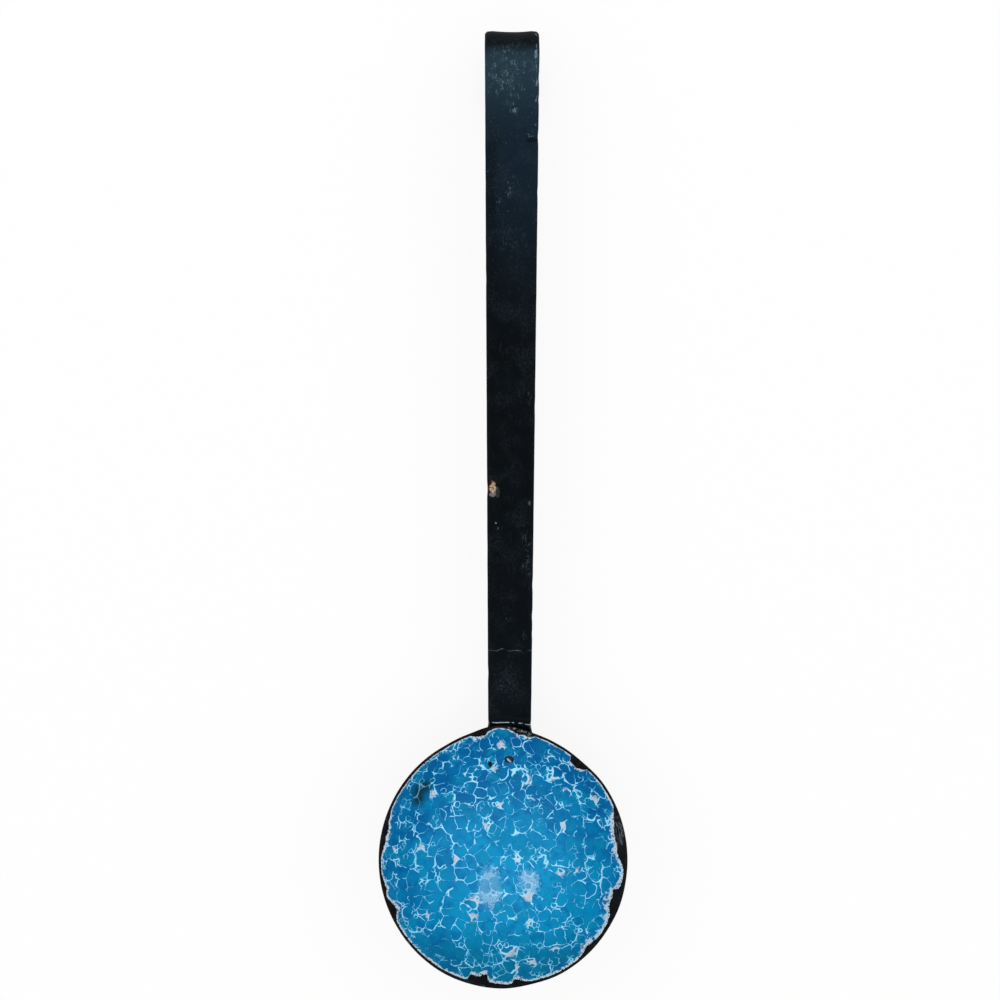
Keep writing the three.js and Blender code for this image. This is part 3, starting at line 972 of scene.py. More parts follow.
@dataclass(frozen=True)
class BlackEnamel:
    """Worn black enamel of the bowl's outside, and the bare ground where the lining is chipped off."""

    black: Colour = paint(15, 17, 19)
    soot: Colour = paint(9, 9, 10)
    rust: Colour = paint(58, 36, 28)
    brown: Colour = paint(74, 46, 32)
    bare: Colour = paint(112, 118, 122)
    knock: Colour = paint(96, 102, 106)
    crumb: Colour = paint(140, 156, 164)
    shine: float = 0.08
    glaze_roughness: float = 0.16
    rot: Pattern = Pattern(1.1, 4.0, 0.75, 0.52, 0.62)
    flakes: Pattern = Pattern(0.45, 6.0, 0.8, 0.44, 0.56)
    chips: Pattern = Pattern(0.32, 4.0, 0.7, 0.63, 0.66)
    pits: Pattern = Pattern(1.6, 3.0, 0.5, 0.42, 0.58)
    streaks: Pattern = Pattern(0.6, 5.0, 0.8, 0.46, 0.62)
    crumbling: Pattern = Pattern(1.2, 4.0, 0.75, 0.54, 0.6)
    scrape: tuple[float, float] = (13, 65.5)
    scrape_reach: Triple = (4, 8, 4)
    crumbs: tuple[tuple[float, float], ...] = ((79, 70), (84, 71))
    crumb_reach: float = 5.5

    def material(self, seat: Seat, shelf: EffectShelf, radius: float) -> bpy.types.Material:
        """Makes the finish.

        Args:
            seat: Where the ladle lies.
            shelf: Shared effects.
            radius: Radius of the bowl's inner face.

        Returns:
            The material.
        """
        graph, material, shader = Graph.of_material("worn_black_enamel")
        place = graph.ladle_place(seat)
        inside = graph.own("inside")
        outside = graph.minus(1.0, inside)
        height = graph.axis(place, "Z")
        skin = shelf.place(graph, Effect.SKIN, Place=place, Pitting=0.3)
        wear = shelf.place(graph, Effect.WEAR, Place=place, Amount=0.8)
        colour = graph.mix(graph.remap(skin["Dullness"], 0.35, 0.65), self.black, self.soot)
        colour = graph.mix(wear["Specks"], colour, self.knock)
        colour = graph.mix(graph.times(wear["Scuffs"], 0.3), colour, self.knock)
        colour = graph.mix(graph.times(graph.pattern(place, self.rot), inside, 0.55), colour, self.rust)
        rubbed = graph.times(graph.remap(height, -49.0, -52.2), outside, graph.pattern(place, self.flakes))
        colour = graph.mix(rubbed, colour, self.knock)
        chipped = graph.times(graph.pattern(place, self.chips), outside)
        pit = graph.mix(graph.pattern(place, self.pits), self.brown, self.bare)
        colour = graph.mix(chipped, colour, pit)
        colour = self._bared(graph, shelf, colour, place, radius, inside)
        dull = graph.math("MULTIPLY_ADD", inside, 0.3, shelf.dulled(graph, skin, 0.36, 0.55))
        glaze = graph.times(graph.remap(height, -18.5, -22.0, 0.0, 0.6), outside)
        graph.feed(shader, {
            "Base Color": colour,
            "Roughness": dull,
            "Coat Weight": graph.times(glaze, graph.minus(1.0, graph.largest(chipped, rubbed))),
            "Coat Roughness": self.glaze_roughness,
            "Normal": graph.bump(skin["Height"], 0.3, 0.1),
            "Specular IOR Level": self.shine,
        })
        return material

    def _bared(
        self, graph: Graph, shelf: EffectShelf, colour: Feed, place: Feed, radius: float, inside: Feed
    ) -> Socket:
        """Paints the ground under the lining's chips: a scrape on the right, and crumbs by the handle.

        Args:
            graph: Graph to write into.
            shelf: Shared effects.
            colour: Colour so far.
            place: Place in the ladle's own frame.
            radius: Radius of the bowl's inner face.
            inside: 1 on the inner face.

        Returns:
            The painted colour.
        """
        middle = bowl_point(*self.scrape, radius)
        feeds = {"Place": place, "Middle": middle, "Reach": self.scrape_reach, "Rag": 1.6}
        scraped = shelf.place(graph, Effect.SPOT, **feeds)["Mask"]
        streaks = graph.pattern(graph.mapped(place, Scale=(1.6, 0.45, 1.6)), self.streaks)
        colour = graph.mix(graph.times(scraped, streaks, inside, 0.85), colour, self.bare)
        spots = [(bowl_point(*crumb, radius), self.crumb_reach) for crumb in self.crumbs]
        close = graph.remap(graph.nearness(place, spots), 1.0, 0.6)
        left = graph.times(graph.pattern(place, self.crumbling), close, inside, 0.8)
        return graph.mix(left, colour, self.crumb)


@dataclass(frozen=True)
class StrapMark:
    """Mark on the strap's upper face: its middle and half size, across and along, and its strength.

    Through is the height of that face above the strap's middle, and depth is the half size through it.
    """

    across: float
    along: float
    half_width: float
    half_length: float
    strength: float
    through: float = 0.9
    depth: float = 3.0

    def spot(self, graph: Graph, shelf: EffectShelf, place: Feed, rag: float) -> bpy.types.NodeOutputs:
        """Ragged spot of the mark.

        Args:
            graph: Graph to write into.
            shelf: Shared effects.
            place: Across, along and through the strap.
            rag: How far the spot's outline is torn.

        Returns:
            The outputs of the spot.
        """
        middle = (self.across, self.along, self.through)
        reach = (self.half_width, self.half_length, self.depth)
        return shelf.place(graph, Effect.SPOT, Place=place, Middle=middle, Reach=reach, Rag=rag)


@dataclass(frozen=True)
class HandleEnamel:
    """Black enamel of the strap, scuffed at the hook and chipped along its edges, with a painted bluish
    sheen that grows towards the hook.
    """

    black: Colour = paint(11, 13, 15)
    # Painted reflection: the two blue-greys below stand for the strap's sheen towards the hook.
    painted_sheen_navy: Colour = paint(18, 30, 40)
    painted_sheen_slate: Colour = paint(33, 51, 60)
    knock: Colour = paint(110, 132, 146)
    scuff: Colour = paint(78, 92, 102)
    cloud: Colour = paint(44, 52, 58)
    # Pale line on the bend's crest: worn enamel, and a painted highlight where the crest catches the light.
    worn: Colour = paint(190, 194, 192)
    cream: Colour = paint(184, 166, 138)
    brown: Colour = paint(104, 82, 56)
    rust: Colour = paint(70, 32, 20)
    primer: Colour = paint(124, 118, 116)
    dust: Colour = paint(66, 66, 66)
    sheen: Colour = paint(158, 214, 255)
    shine: float = 0.05
    breaks: Pattern = Pattern(0.45, low=0.5, high=0.58)
    fog: Pattern = Pattern(1.4, 5.0, 0.8, 0.44, 0.68, 0.0, 0.8)
    motes: Pattern = Pattern(1.9, low=0.69, high=0.76)
    smears: Pattern = Pattern(0.1, 3.0, 0.5, 0.46, 0.66, 0.0, 0.6)
    hair_breaks: Pattern = Pattern(0.3, 1.0, 0.5, 0.34, 0.46, 0.1, 0.7)
    crest_breaks: Pattern = Pattern(0.5, 3.0, 0.6, 0.48, 0.54)
    scratch_turns: tuple[float, ...] = (0.7, -0.8)
    rubs: tuple[StrapMark, ...] = (
        StrapMark(-0.5, 248, 12.0, 15.0, 0.42),
        StrapMark(-2.5, 249.5, 5.0, 5.0, 0.5),
        StrapMark(0.8, 234, 2.0, 3.4, 0.7),
        StrapMark(-0.4, 205, 3.4, 5.0, 0.5),
        StrapMark(7.2, 224.6, 3.2, 2.4, 0.55),
        StrapMark(-5.0, 196, 2.4, 7.0, 0.4),
        StrapMark(0.5, 186, 7.0, 12.0, 0.09),
        StrapMark(7.2, 122, 1.4, 6.0, 0.2),
        StrapMark(6.3, 63, 2.4, 19.0, 0.24),
        StrapMark(-1.2, 39.5, 1.8, 3.2, 0.2),
        StrapMark(6.0, 33, 1.3, 2.4, 0.3),
    )
    rim_dust: StrapMark = StrapMark(-1.6, 15, 6.5, 9.0, 0.8)
    chip_bed: tuple[tuple[StrapMark, Colour], ...] = (
        (StrapMark(-7.0, 89.6, 2.0, 3.2, 0.6), rust),
        (StrapMark(-5.2, 87.9, 1.4, 2.4, 0.45), dust),
        (StrapMark(-6.9, 86.9, 1.4, 0.9, 0.75), primer),
    )
    chip: StrapMark = StrapMark(-6.8, 89.5, 1.5, 2.5, 0.95)
    small_chips: tuple[tuple[StrapMark, Colour], ...] = (
        (StrapMark(7.3, 83.6, 0.5, 1.3, 0.5), scuff),
        (StrapMark(7.8, 222.6, 2.4, 1.3, 0.8), black),
        (StrapMark(-5.6, 76.0, 0.4, 0.4, 0.7), knock),
        (StrapMark(-4.8, 74.0, 0.3, 0.6, 0.5), scuff),
    )

    def material(self, shelf: EffectShelf) -> bpy.types.Material:
        """Makes the finish, in the strap's own across, along and through.

        Args:
            shelf: Shared effects.

        Returns:
            The material.
        """
        graph, material, shader = Graph.of_material("handle_black_enamel")
        across, along, through = (graph.own(name) for name in ("across", "along", "through"))
        place = graph.add("CombineXYZ", {0: across, 1: along, 2: through}).outputs[0]
        skin = shelf.place(graph, Effect.SKIN, Place=place, Pitting=0.3)
        wear = shelf.place(graph, Effect.WEAR, Place=place, Amount=1.0)
        roll = graph.remap(along, 252.5, 260.5)
        flat = graph.minus(1.0, roll)
        # Painted reflection: a blue-black glow grows towards the hook and is weaker on the left side. A
        # paler blue-grey follows before the roll. Both stand for the sky's sheen on the strap.
        aside = graph.largest(graph.remap(across, -8.0, -2.5, 0.35, 1.0), graph.remap(along, 205.0, 240.0))
        painted_sheen_rise = graph.times(graph.remap(along, 140.0, 226.0), aside, flat)
        colour = graph.mix(painted_sheen_rise, self.black, self.painted_sheen_navy)
        colour = graph.mix(graph.times(graph.remap(along, 222.0, 254.0), flat), colour, self.painted_sheen_slate)
        colour = graph.mix(graph.times(wear["Specks"], 0.25), colour, self.knock)
        colour = graph.mix(graph.times(wear["Scuffs"], 0.1), colour, self.scuff)
        colour = self._rubs(graph, shelf, colour, place)
        colour = self._dusted(graph, shelf, colour, place)
        colour = self._cracked(graph, colour, place)
        upper = graph.remap(through, 0.3, 0.6)
        colour = self._edged(graph, colour, place, upper)
        colour = self._crest_wear_and_glint(graph, colour, place, upper)
        colour = self._chips(graph, shelf, colour, place)
        dull = shelf.dulled(graph, skin, 0.2, 0.28)
        graph.feed(shader, {
            "Base Color": colour,
            "Roughness": graph.math("MULTIPLY_ADD", roll, 0.4, dull),
            "Normal": graph.bump(skin["Height"], 0.2, 0.06),
            "Specular IOR Level": self.shine,
            "Specular Tint": self.sheen,
        })
        return material

    def _rubs(self, graph: Graph, shelf: EffectShelf, colour: Feed, place: Feed) -> Socket:
        """Paints the rubbed patches, each of dots that thin out and of broken scratches.

        Args:
            graph: Graph to write into.
            shelf: Shared effects.
            colour: Colour so far.
            place: Across, along and through the strap.

        Returns:
            The painted colour.
        """
        specks = graph.grain(place, 1.8, 3.0, 0.75)
        scratches = []
        for turn in self.scratch_turns:
            drawn = graph.mapped(place, Scale=(1.6, 0.35, 1.0), Rotation=(0, 0, turn))
            scratches.append(graph.lines(drawn, 0.8, 1.0, (0.022, 0.006)))
        lines = graph.times(graph.largest(*scratches), graph.pattern(place, self.breaks))
        for rub in self.rubs:
            away = rub.spot(graph, shelf, place, 0.9)["Away"]
            thinned = graph.minus(specks, graph.remap(away, 0.0, 1.3, 0.0, 0.24))
            drawn = graph.times(lines, graph.remap(away, 1.1, 0.5))
            marks = graph.largest(graph.remap(thinned, 0.55, 0.64), drawn)
            colour = graph.mix(graph.times(marks, rub.strength), colour, self.knock)
        return colour

    def _dusted(self, graph: Graph, shelf: EffectShelf, colour: Feed, place: Feed) -> Socket:
        """Paints the dust by the rim, the motes towards the hook and the faint smears.

        Args:
            graph: Graph to write into.
            shelf: Shared effects.
            colour: Colour so far.
            place: Across, along and through the strap.

        Returns:
            The painted colour.
        """
        fog = graph.pattern(place, self.fog)
        dusty = graph.remap(self.rim_dust.spot(graph, shelf, place, 1.8)["Away"], 1.2, 0.1)
        colour = graph.mix(graph.times(dusty, fog), colour, self.cloud)
        towards_hook = graph.remap(graph.axis(place, "Y"), 110.0, 220.0, 0.08, 0.34)
        motes = graph.times(graph.pattern(place, self.motes), towards_hook)
        colour = graph.mix(motes, colour, self.knock)
        return graph.mix(graph.times(graph.pattern(place, self.smears), fog), colour, self.cloud)

    def _cracked(self, graph: Graph, colour: Feed, place: Feed) -> Socket:
        """Paints the hair crack across the strap, near the rim.

        Args:
            graph: Graph to write into.
            colour: Colour so far.
            place: Across, along and through the strap.

        Returns:
            The painted colour.
        """
        wander = graph.math("MULTIPLY_ADD", graph.grain(place, 0.25, 3.0), 5.0, 24.0)
        hair = graph.remap(graph.apart(graph.axis(place, "Y"), wander), 0.2, 0.06)
        return graph.mix(graph.times(hair, graph.pattern(place, self.hair_breaks)), colour, self.scuff)

    def _edged(self, graph: Graph, colour: Feed, place: Feed, upper: Feed) -> Socket:
        """Paints the knocks along the right edge.

        Args:
            graph: Graph to write into.
            colour: Colour so far.
            place: Across, along and through the strap.
            upper: 1 on the upper face.

        Returns:
            The painted colour.
        """
        along = graph.axis(place, "Y")
        half = graph.remap(along, 0.0, 252.8, 8.4, 10.5)
        inset = graph.minus(half, graph.axis(place, "X"))
        torn = graph.math("MULTIPLY_ADD", graph.grain(place, 0.2, 3.0, 0.6), 3.0, -0.35)
        line = graph.remap(graph.apart(inset, torn), 0.5, 0.1)
        by_bowl = graph.remap(graph.apart(along, 44.0), 24.0, 14.0, -0.2, -0.03)
        zone = graph.largest(graph.remap(along, 200.0, 236.0, -0.2, 0.06), by_bowl)
        gaps = graph.remap(graph.total(graph.grain(place, 0.22, 4.0, 0.65), zone), 0.55, 0.66)
        return graph.mix(graph.times(line, gaps, upper, 0.8), colour, self.knock)

    def _crest_wear_and_glint(self, graph: Graph, colour: Feed, place: Feed, upper: Feed) -> Socket:
        """Paints the pale broken line along the crest of the bend at the rim: worn enamel, and a painted
        highlight where the crest catches the light.

        Args:
            graph: Graph to write into.
            colour: Colour so far.
            place: Across, along and through the strap.
            upper: 1 on the upper face.

        Returns:
            The painted colour.
        """
        slope = graph.math("MULTIPLY_ADD", graph.grain(place, 0.3, 3.0, 0.6), 1.6, -2.6)
        crest = graph.remap(graph.apart(graph.axis(place, "Y"), slope), 0.6, 0.25)
        broken = graph.pattern(graph.mapped(place, Scale=(-1, 1, 1)), self.crest_breaks)
        return graph.mix(graph.times(crest, broken, upper), colour, self.worn)

    def _chips(self, graph: Graph, shelf: EffectShelf, colour: Feed, place: Feed) -> Socket:
        """Paints the chips: the largest one, through to the ground coat on its bed, and the small ones.

        Args:
            graph: Graph to write into.
            shelf: Shared effects.
            colour: Colour so far.
            place: Across, along and through the strap.

        Returns:
            The painted colour.
        """
        crumbs = graph.grain(place, 1.4, 4.0, 0.75)
        ground = graph.mix(graph.remap(crumbs, 0.42, 0.56), self.brown, self.cream)
        left = graph.remap(crumbs, 0.34, 0.46, 0.3, 1.0)
        for mark, tone in (*self.chip_bed, (self.chip, ground), *self.small_chips):
            mask = mark.spot(graph, shelf, place, 1.4)["Mask"]
            colour = graph.mix(graph.times(mask, left, mark.strength), colour, tone)
        return colour


@dataclass(frozen=True)
class RivetFinish:
    """Dark steel of a rivet, with a bright stroke on the centre head that is a painted highlight and a rub.
    """

    steel: Colour = paint(30, 32, 36)
    black: Colour = paint(8, 9, 10)
    # Bright steel of the rubs. It is also the colour of the painted highlight on the centre head.
    bright: Colour = paint(176, 196, 208)
    tones: Pattern = Pattern(1.1, 3.0, 0.5, 0.45, 0.7)
    slant: float = math.radians(40)
    glint_slash_reach: Triple = (1.4, 0.42, 3.0)
    crown_from: float = 53.9
    crown_to: float = 54.2

    def material(self, seat: Seat, shelf: EffectShelf, glint_slash: Vector) -> bpy.types.Material:
        """Makes the finish.

        Args:
            seat: Where the ladle lies.
            shelf: Shared effects.
            glint_slash: Where the bright stroke lies, a painted highlight and a rub, in the ladle's own
                frame.

        Returns:
            The material.
        """
        graph, material, shader = Graph.of_material("dark_rivet_steel")
        place = graph.ladle_place(seat)
        skin = shelf.place(graph, Effect.SKIN, Place=place, Pitting=0.4)
        wear = shelf.place(graph, Effect.WEAR, Place=place, Amount=1.0)
        colour = graph.mix(graph.pattern(place, self.tones), self.black, self.steel)
        colour = graph.mix(graph.times(wear["Scuffs"], 0.5), colour, self.bright)
        # Painted highlight: a bright stroke across the bare centre head, which is also a rub.
        turned = graph.mapped(graph.mapped(place, Location=-glint_slash), Rotation=(0, 0, self.slant))
        feeds = {"Place": turned, "Middle": (0, 0, 0), "Reach": self.glint_slash_reach, "Rag": 0.5}
        colour = graph.mix(shelf.place(graph, Effect.SPOT, **feeds)["Mask"], colour, self.bright)
        out = graph.vector("LENGTH", place)
        ragged = graph.math("MULTIPLY_ADD", graph.grain(place, 0.9, 4.0, 0.7), 0.5, out)
        crown = graph.remap(ragged, self.crown_from, self.crown_to, 0.0, 0.5)
        graph.feed(shader, {
            "Base Color": graph.mix(crown, colour, self.bright),
            "Metallic": shelf.dulled(graph, skin, 0.1, 0.4),
            "Roughness": shelf.dulled(graph, skin, 0.5, 0.7),
            "Normal": graph.bump(skin["Height"], 0.3, 0.1),
        })
        return material


# Bowl


@dataclass(frozen=True)
class Dent:
    """Place where the bowl's rim is pushed out or in.

    Direction and half width are degrees round the bowl. The dent grows from low to high, in degrees from
    the bottom, to its depth in millimetres, which is below 0 where the rim is pushed in.
    """

    direction: float
    half_width: float
    depth: float
    low: float = 38.0
    high: float = 68.0

    def shift(self, direction: float, polar: float) -> float:
        """How far the dent moves a point of the bowl outwards."""
        away = abs((direction - self.direction + 180) % 360 - 180)
        return self.depth * (1 - ease(away, 0, self.half_width)) * ease(polar, self.low, self.high)


@dataclass(frozen=True)
class Bowl:
    """Pressed bowl: its steel shell and the enamel lining that is chipped back from the rim.

    Edge lists how far the lining's edge lies below the rim: degrees round the bowl, and millimetres.
    Tears lists the noise that makes that edge ragged: millimetres, and cycles over a radius.
    """

    rim_diameter: float = 95.0
    depth: float = 33.0
    sheet: float = 0.9
    rim_round: float = 0.42
    rim_steps: int = 4
    lining: float = 0.45
    lining_gap: float = 0.03
    lining_margin: float = 0.05
    least_setback: float = 0.06
    edge_run: float = 0.55
    lip_run: float = 0.7
    lip_thinning: float = 0.75
    patch_margin: float = 1.6
    patch_spare: float = 1.5
    unevenness: float = 0.2
    uneven_run: float = 26.0
    uneven_span: tuple[float, float] = (8, 40)
    rim_drop: float = 0.04
    drop_span: tuple[float, float] = (40, 69)
    shell_rings: int = 40
    shell_segments: int = 240
    lining_rings: int = 60
    lining_segments: int = 600
    tears: tuple[tuple[float, float], ...] = ((0.35, 14), (0.45, 37), (0.3, 71))
    least_torn: float = 0.35
    torn_from: float = 2.0
    edge: tuple[tuple[float, float], ...] = (
        (-173, 0.1), (-169, 0.9), (-165, 2.3), (-162, 0.3), (-158.5, 2.2), (-155, 4.5), (-153.5, 3.6),
        (-150, 0.4), (-147, 0.1), (-107, 0.6), (-106, 5.4), (-102, 5.1), (-98, 7.6), (-97, 2.6),
        (-92, 1.5), (-86, 1.4), (-84.5, 4.2), (-82, 3.0), (-79.5, 1.2), (-76, 0.3), (-53, 0.2),
        (-48.5, 1.5), (-46.5, 3.4), (-42, 1.6), (-37, 0.9), (-31, 1.4), (-28, 2.4), (-25, 5.3),
        (-21.5, 6.0), (-16, 6.4), (-15, 2.4), (-10, 1.1), (-6.6, 0.8), (-3, 3.2), (0, 5.4), (5, 6.3),
        (11, 6.6), (17, 4.2), (22, 2.0), (24, 0.2), (45, 0.2), (46, 2.2), (49.6, 5.4), (54, 4.2),
        (55, 0.3), (62, 0.2), (74.5, 0.3), (76, 1.6), (78.5, 3.0), (83.5, 3.0), (87, 1.4), (89, 0.9),
        (91, 0.6), (94, 0.6), (96.5, 1.6), (98.5, 4.0), (101, 3.6), (103, 3.0), (105.5, 0.4), (158, 0.4),
        (162, 1.9), (167, 3.0), (173, 2.8), (177, 1.5), (180, 0.4),
    )
    drawn_out: Dent = Dent(91, 23, 2.3, 50, 68)
    dents: tuple[Dent, ...] = (
        Dent(111, 9, 0.35), Dent(70, 9, 0.3), Dent(49, 14, -0.4), Dent(283, 14, -0.35),
        Dent(243, 14, 0.1), Dent(338, 14, 0.15),
    )

    @property
    def radius(self) -> float:
        """Radius of the bowl's sphere, outside."""
        rim = self.rim_diameter / 2
        return (rim**2 + self.depth**2) / (2 * self.depth)

    @property
    def inner_radius(self) -> float:
        """Radius of the shell's inner face."""
        return self.radius - self.sheet

    @property
    def face_radius(self) -> float:
        """Radius of the lining's face."""
        return self.inner_radius - self.lining

    def rim_polar(self, radius: float) -> float:
        """Angle from the bottom at which a sphere of this radius reaches the plane of the rim."""
        return math.acos((self.radius - self.depth) / radius)

    def setback(self, direction: float) -> float:
        """How far the lining's edge lies below the rim.

        Args:
            direction: Degrees round the bowl, from -180 to 180.

        Returns:
            Millimetres along the bowl's wall.
        """
        marks = ((self.edge[-1][0] - 360, self.edge[-1][1]), *self.edge)
        for (first, near), (last, far) in zip(marks, marks[1:]):
            if first <= direction <= last:
                depth = blend(near, far, (direction - first) / (last - first))
                break
        ring = bowl_point(direction, 90, 1.0)
        torn = sum(reach * noise.noise(ring * cycles) for reach, cycles in self.tears)
        ragged = torn * (self.least_torn + min(depth, self.torn_from) / self.torn_from)
        return max(self.lining_margin + depth + ragged, self.least_setback)

    def press(self, point: Vector) -> Vector:
        """Moves a point of the bowl to where the worn and dented bowl has it.

        Args:
            point: Point of the true sphere.

        Returns:
            The moved point.
        """
        direction = direction_of(point)
        polar = math.degrees(polar_of(point))
        shift = -self.unevenness * wave(point / self.uneven_run) * ease(polar, *self.uneven_span)
        shift += sum(dent.shift(direction, polar) for dent in (self.drawn_out, *self.dents))
        out = Vector((point.x, point.y, 0)).normalized()
        return point + out * shift - Vector((0, 0, self.rim_drop * ease(polar, *self.drop_span)))

    def build_shell(self, seat: Seat, material: bpy.types.Material) -> bpy.types.Object:
        """Makes the steel shell with its rounded rim.

        Args:
            seat: Where the ladle lies.
            material: Its finish.

        Returns:
            The piece.
        """
        outer_edge = self.rim_polar(self.radius)
        inner_edge = self.rim_polar(self.inner_radius)
        bm = spun_cap(self.radius, outer_edge, self.shell_rings, self.shell_segments)
        bmesh.ops.solidify(bm, geom=bm.faces[:], thickness=self.sheet)
        inside = bm.verts.layers.float.new("inside")
        for vert in bm.verts:
            if vert.co.length < self.radius - self.sheet / 2:
                vert[inside] = 1.0
                polar = math.degrees(polar_of(vert.co) * inner_edge / outer_edge)
                vert.co = bowl_point(direction_of(vert.co), polar, self.inner_radius)
        rim = [edge for edge in bm.edges if self._on_rim(edge)]
        look = {"offset_type": "OFFSET", "affect": "EDGES", "profile": 0.5, "material": -1}
        bmesh.ops.bevel(bm, geom=rim, offset=self.rim_round, segments=self.rim_steps, **look)
        for vert in bm.verts:
            vert.co = self.press(vert.co)
        return settle(finished_piece("shell_body", bm, seat), Node.SHELL, Slot.BLACK_ENAMEL, material)

    def _on_rim(self, edge: bmesh.types.BMEdge) -> bool:
        """Tells the edges of the shell that run along the rim from those that cross it.

        Args:
            edge: Edge of the shell.

        Returns:
            Whether it runs along the rim.
        """
        first, last = edge.verts
        level = min(first.co.z, last.co.z) > self.depth - self.radius - MERGE_GAP
        return level and abs(first.co.length - last.co.length) < self.sheet / 2

    def build_lining(
        self, seat: Seat, rivets: "RivetSet", material: bpy.types.Material
    ) -> bpy.types.Object:
        """Makes the enamel lining, chipped at its edge and opened where a rivet shows.

        Args:
            seat: Where the ladle lies.
            rivets: Rivets whose heads it covers or leaves bare.
            material: Its finish.

        Returns:
            The piece.
        """
        outer = self.inner_radius - self.lining_gap
        whole = self.rim_polar(outer)
        bm = spun_cap(outer, whole, self.lining_rings, self.lining_segments)
        edge_gap = bm.verts.layers.float.new("edge_gap")
        chip = bm.verts.layers.float.new("chip")
        flat = bm.verts.layers.float_vector.new("laid_out")
        for vert in bm.verts:
            direction = direction_of(vert.co)
            polar = polar_of(vert.co)
            vert[chip] = self.setback(direction)
            edge = whole - vert[chip] / outer
            polar *= blend(1.0, edge / whole, ease(polar / whole, self.edge_run, 1.0))
            vert.co = bowl_point(direction, math.degrees(polar), outer)
            vert[edge_gap] = max(edge - polar, 0.0) * outer
        for middle, reach in rivets.bare_patches(outer):
            self._open(bm, middle, reach)
        bmesh.ops.solidify(bm, geom=bm.faces[:], thickness=self.lining)
        for vert in bm.verts:
            polar = math.degrees(polar_of(vert.co))
            vert[flat] = laid_out(direction_of(vert.co), polar, self.face_radius)
            if vert.co.length < outer - self.lining / 2:
                thinned = self.lip_thinning * (1 - ease(vert[edge_gap], 0, self.lip_run))
                rise = rivets.cover_over(vert.co) - self.lining * thinned
                vert.co *= (vert.co.length - rise) / vert.co.length
            vert.co = self.press(vert.co)
        return settle(finished_piece("lining_glaze", bm, seat), Node.LINING, Slot.BLUE_ENAMEL, material)

    def _open(self, bm: bmesh.types.BMesh, middle: Vector, reach: tuple[float, float]) -> None:
        """Opens an oval bare patch in the lining.

        Args:
            bm: Lining, before it has thickness.
            middle: Middle of the patch.
            reach: Half its size round the bowl and up the bowl.
        """
        radius = middle.length
        up = middle.normalized()
        side = Vector((0, 0, 1)).cross(up).normalized()
        rise = up.cross(side)
        around = max(reach) + self.patch_margin
        close = [e for e in bm.edges if all((v.co - middle).length < around for v in e.verts)]
        bmesh.ops.subdivide_edges(bm, edges=close, cuts=1, use_grid_fill=True)
        shares = {}
        for vert in bm.verts:
            if (vert.co - middle).length < around + self.patch_spare:
                vert.co *= radius / vert.co.length
                offset = vert.co - middle
                shares[vert] = Vector((offset.dot(side) / reach[0], offset.dot(rise) / reach[1]))
        inner = {vert for vert, share in shares.items() if share.length < 1}
        gone = [face for face in bm.faces if any(vert in inner for vert in face.verts)]
        rim = {vert for face in gone for vert in face.verts} - inner
        bmesh.ops.delete(bm, geom=gone, context="FACES")
        for vert in rim:
            if vert.is_valid:
                share = shares[vert].normalized()
                vert.co = middle + side * share.x * reach[0] + rise * share.y * reach[1]
                vert.co *= radius / vert.co.length
        bm.normal_update()


# Handle


@dataclass(frozen=True)
class Section:
    """Cross section of the strap: curved about the line x = about when curvature isn't 0."""

    width: float
    offset: float
    curvature: float
    about: float


@dataclass(frozen=True)
class Stretch:
    """Stretch of the strap with an even turn."""

    length: float
    turn: float
    steps: int
    shape: Callable[[float], Section]


@dataclass(frozen=True)
class Station:
    """Place along the strap's route, in the plane across the ladle."""

    y: float
    z: float
    heading: float
    along: float
    section: Section


@dataclass(frozen=True)
class Nick:
    """Knock out of an edge of the strap: side is 1 on the right and -1 on the left."""

    along: float
    side: int
    half_length: float
    depth: float


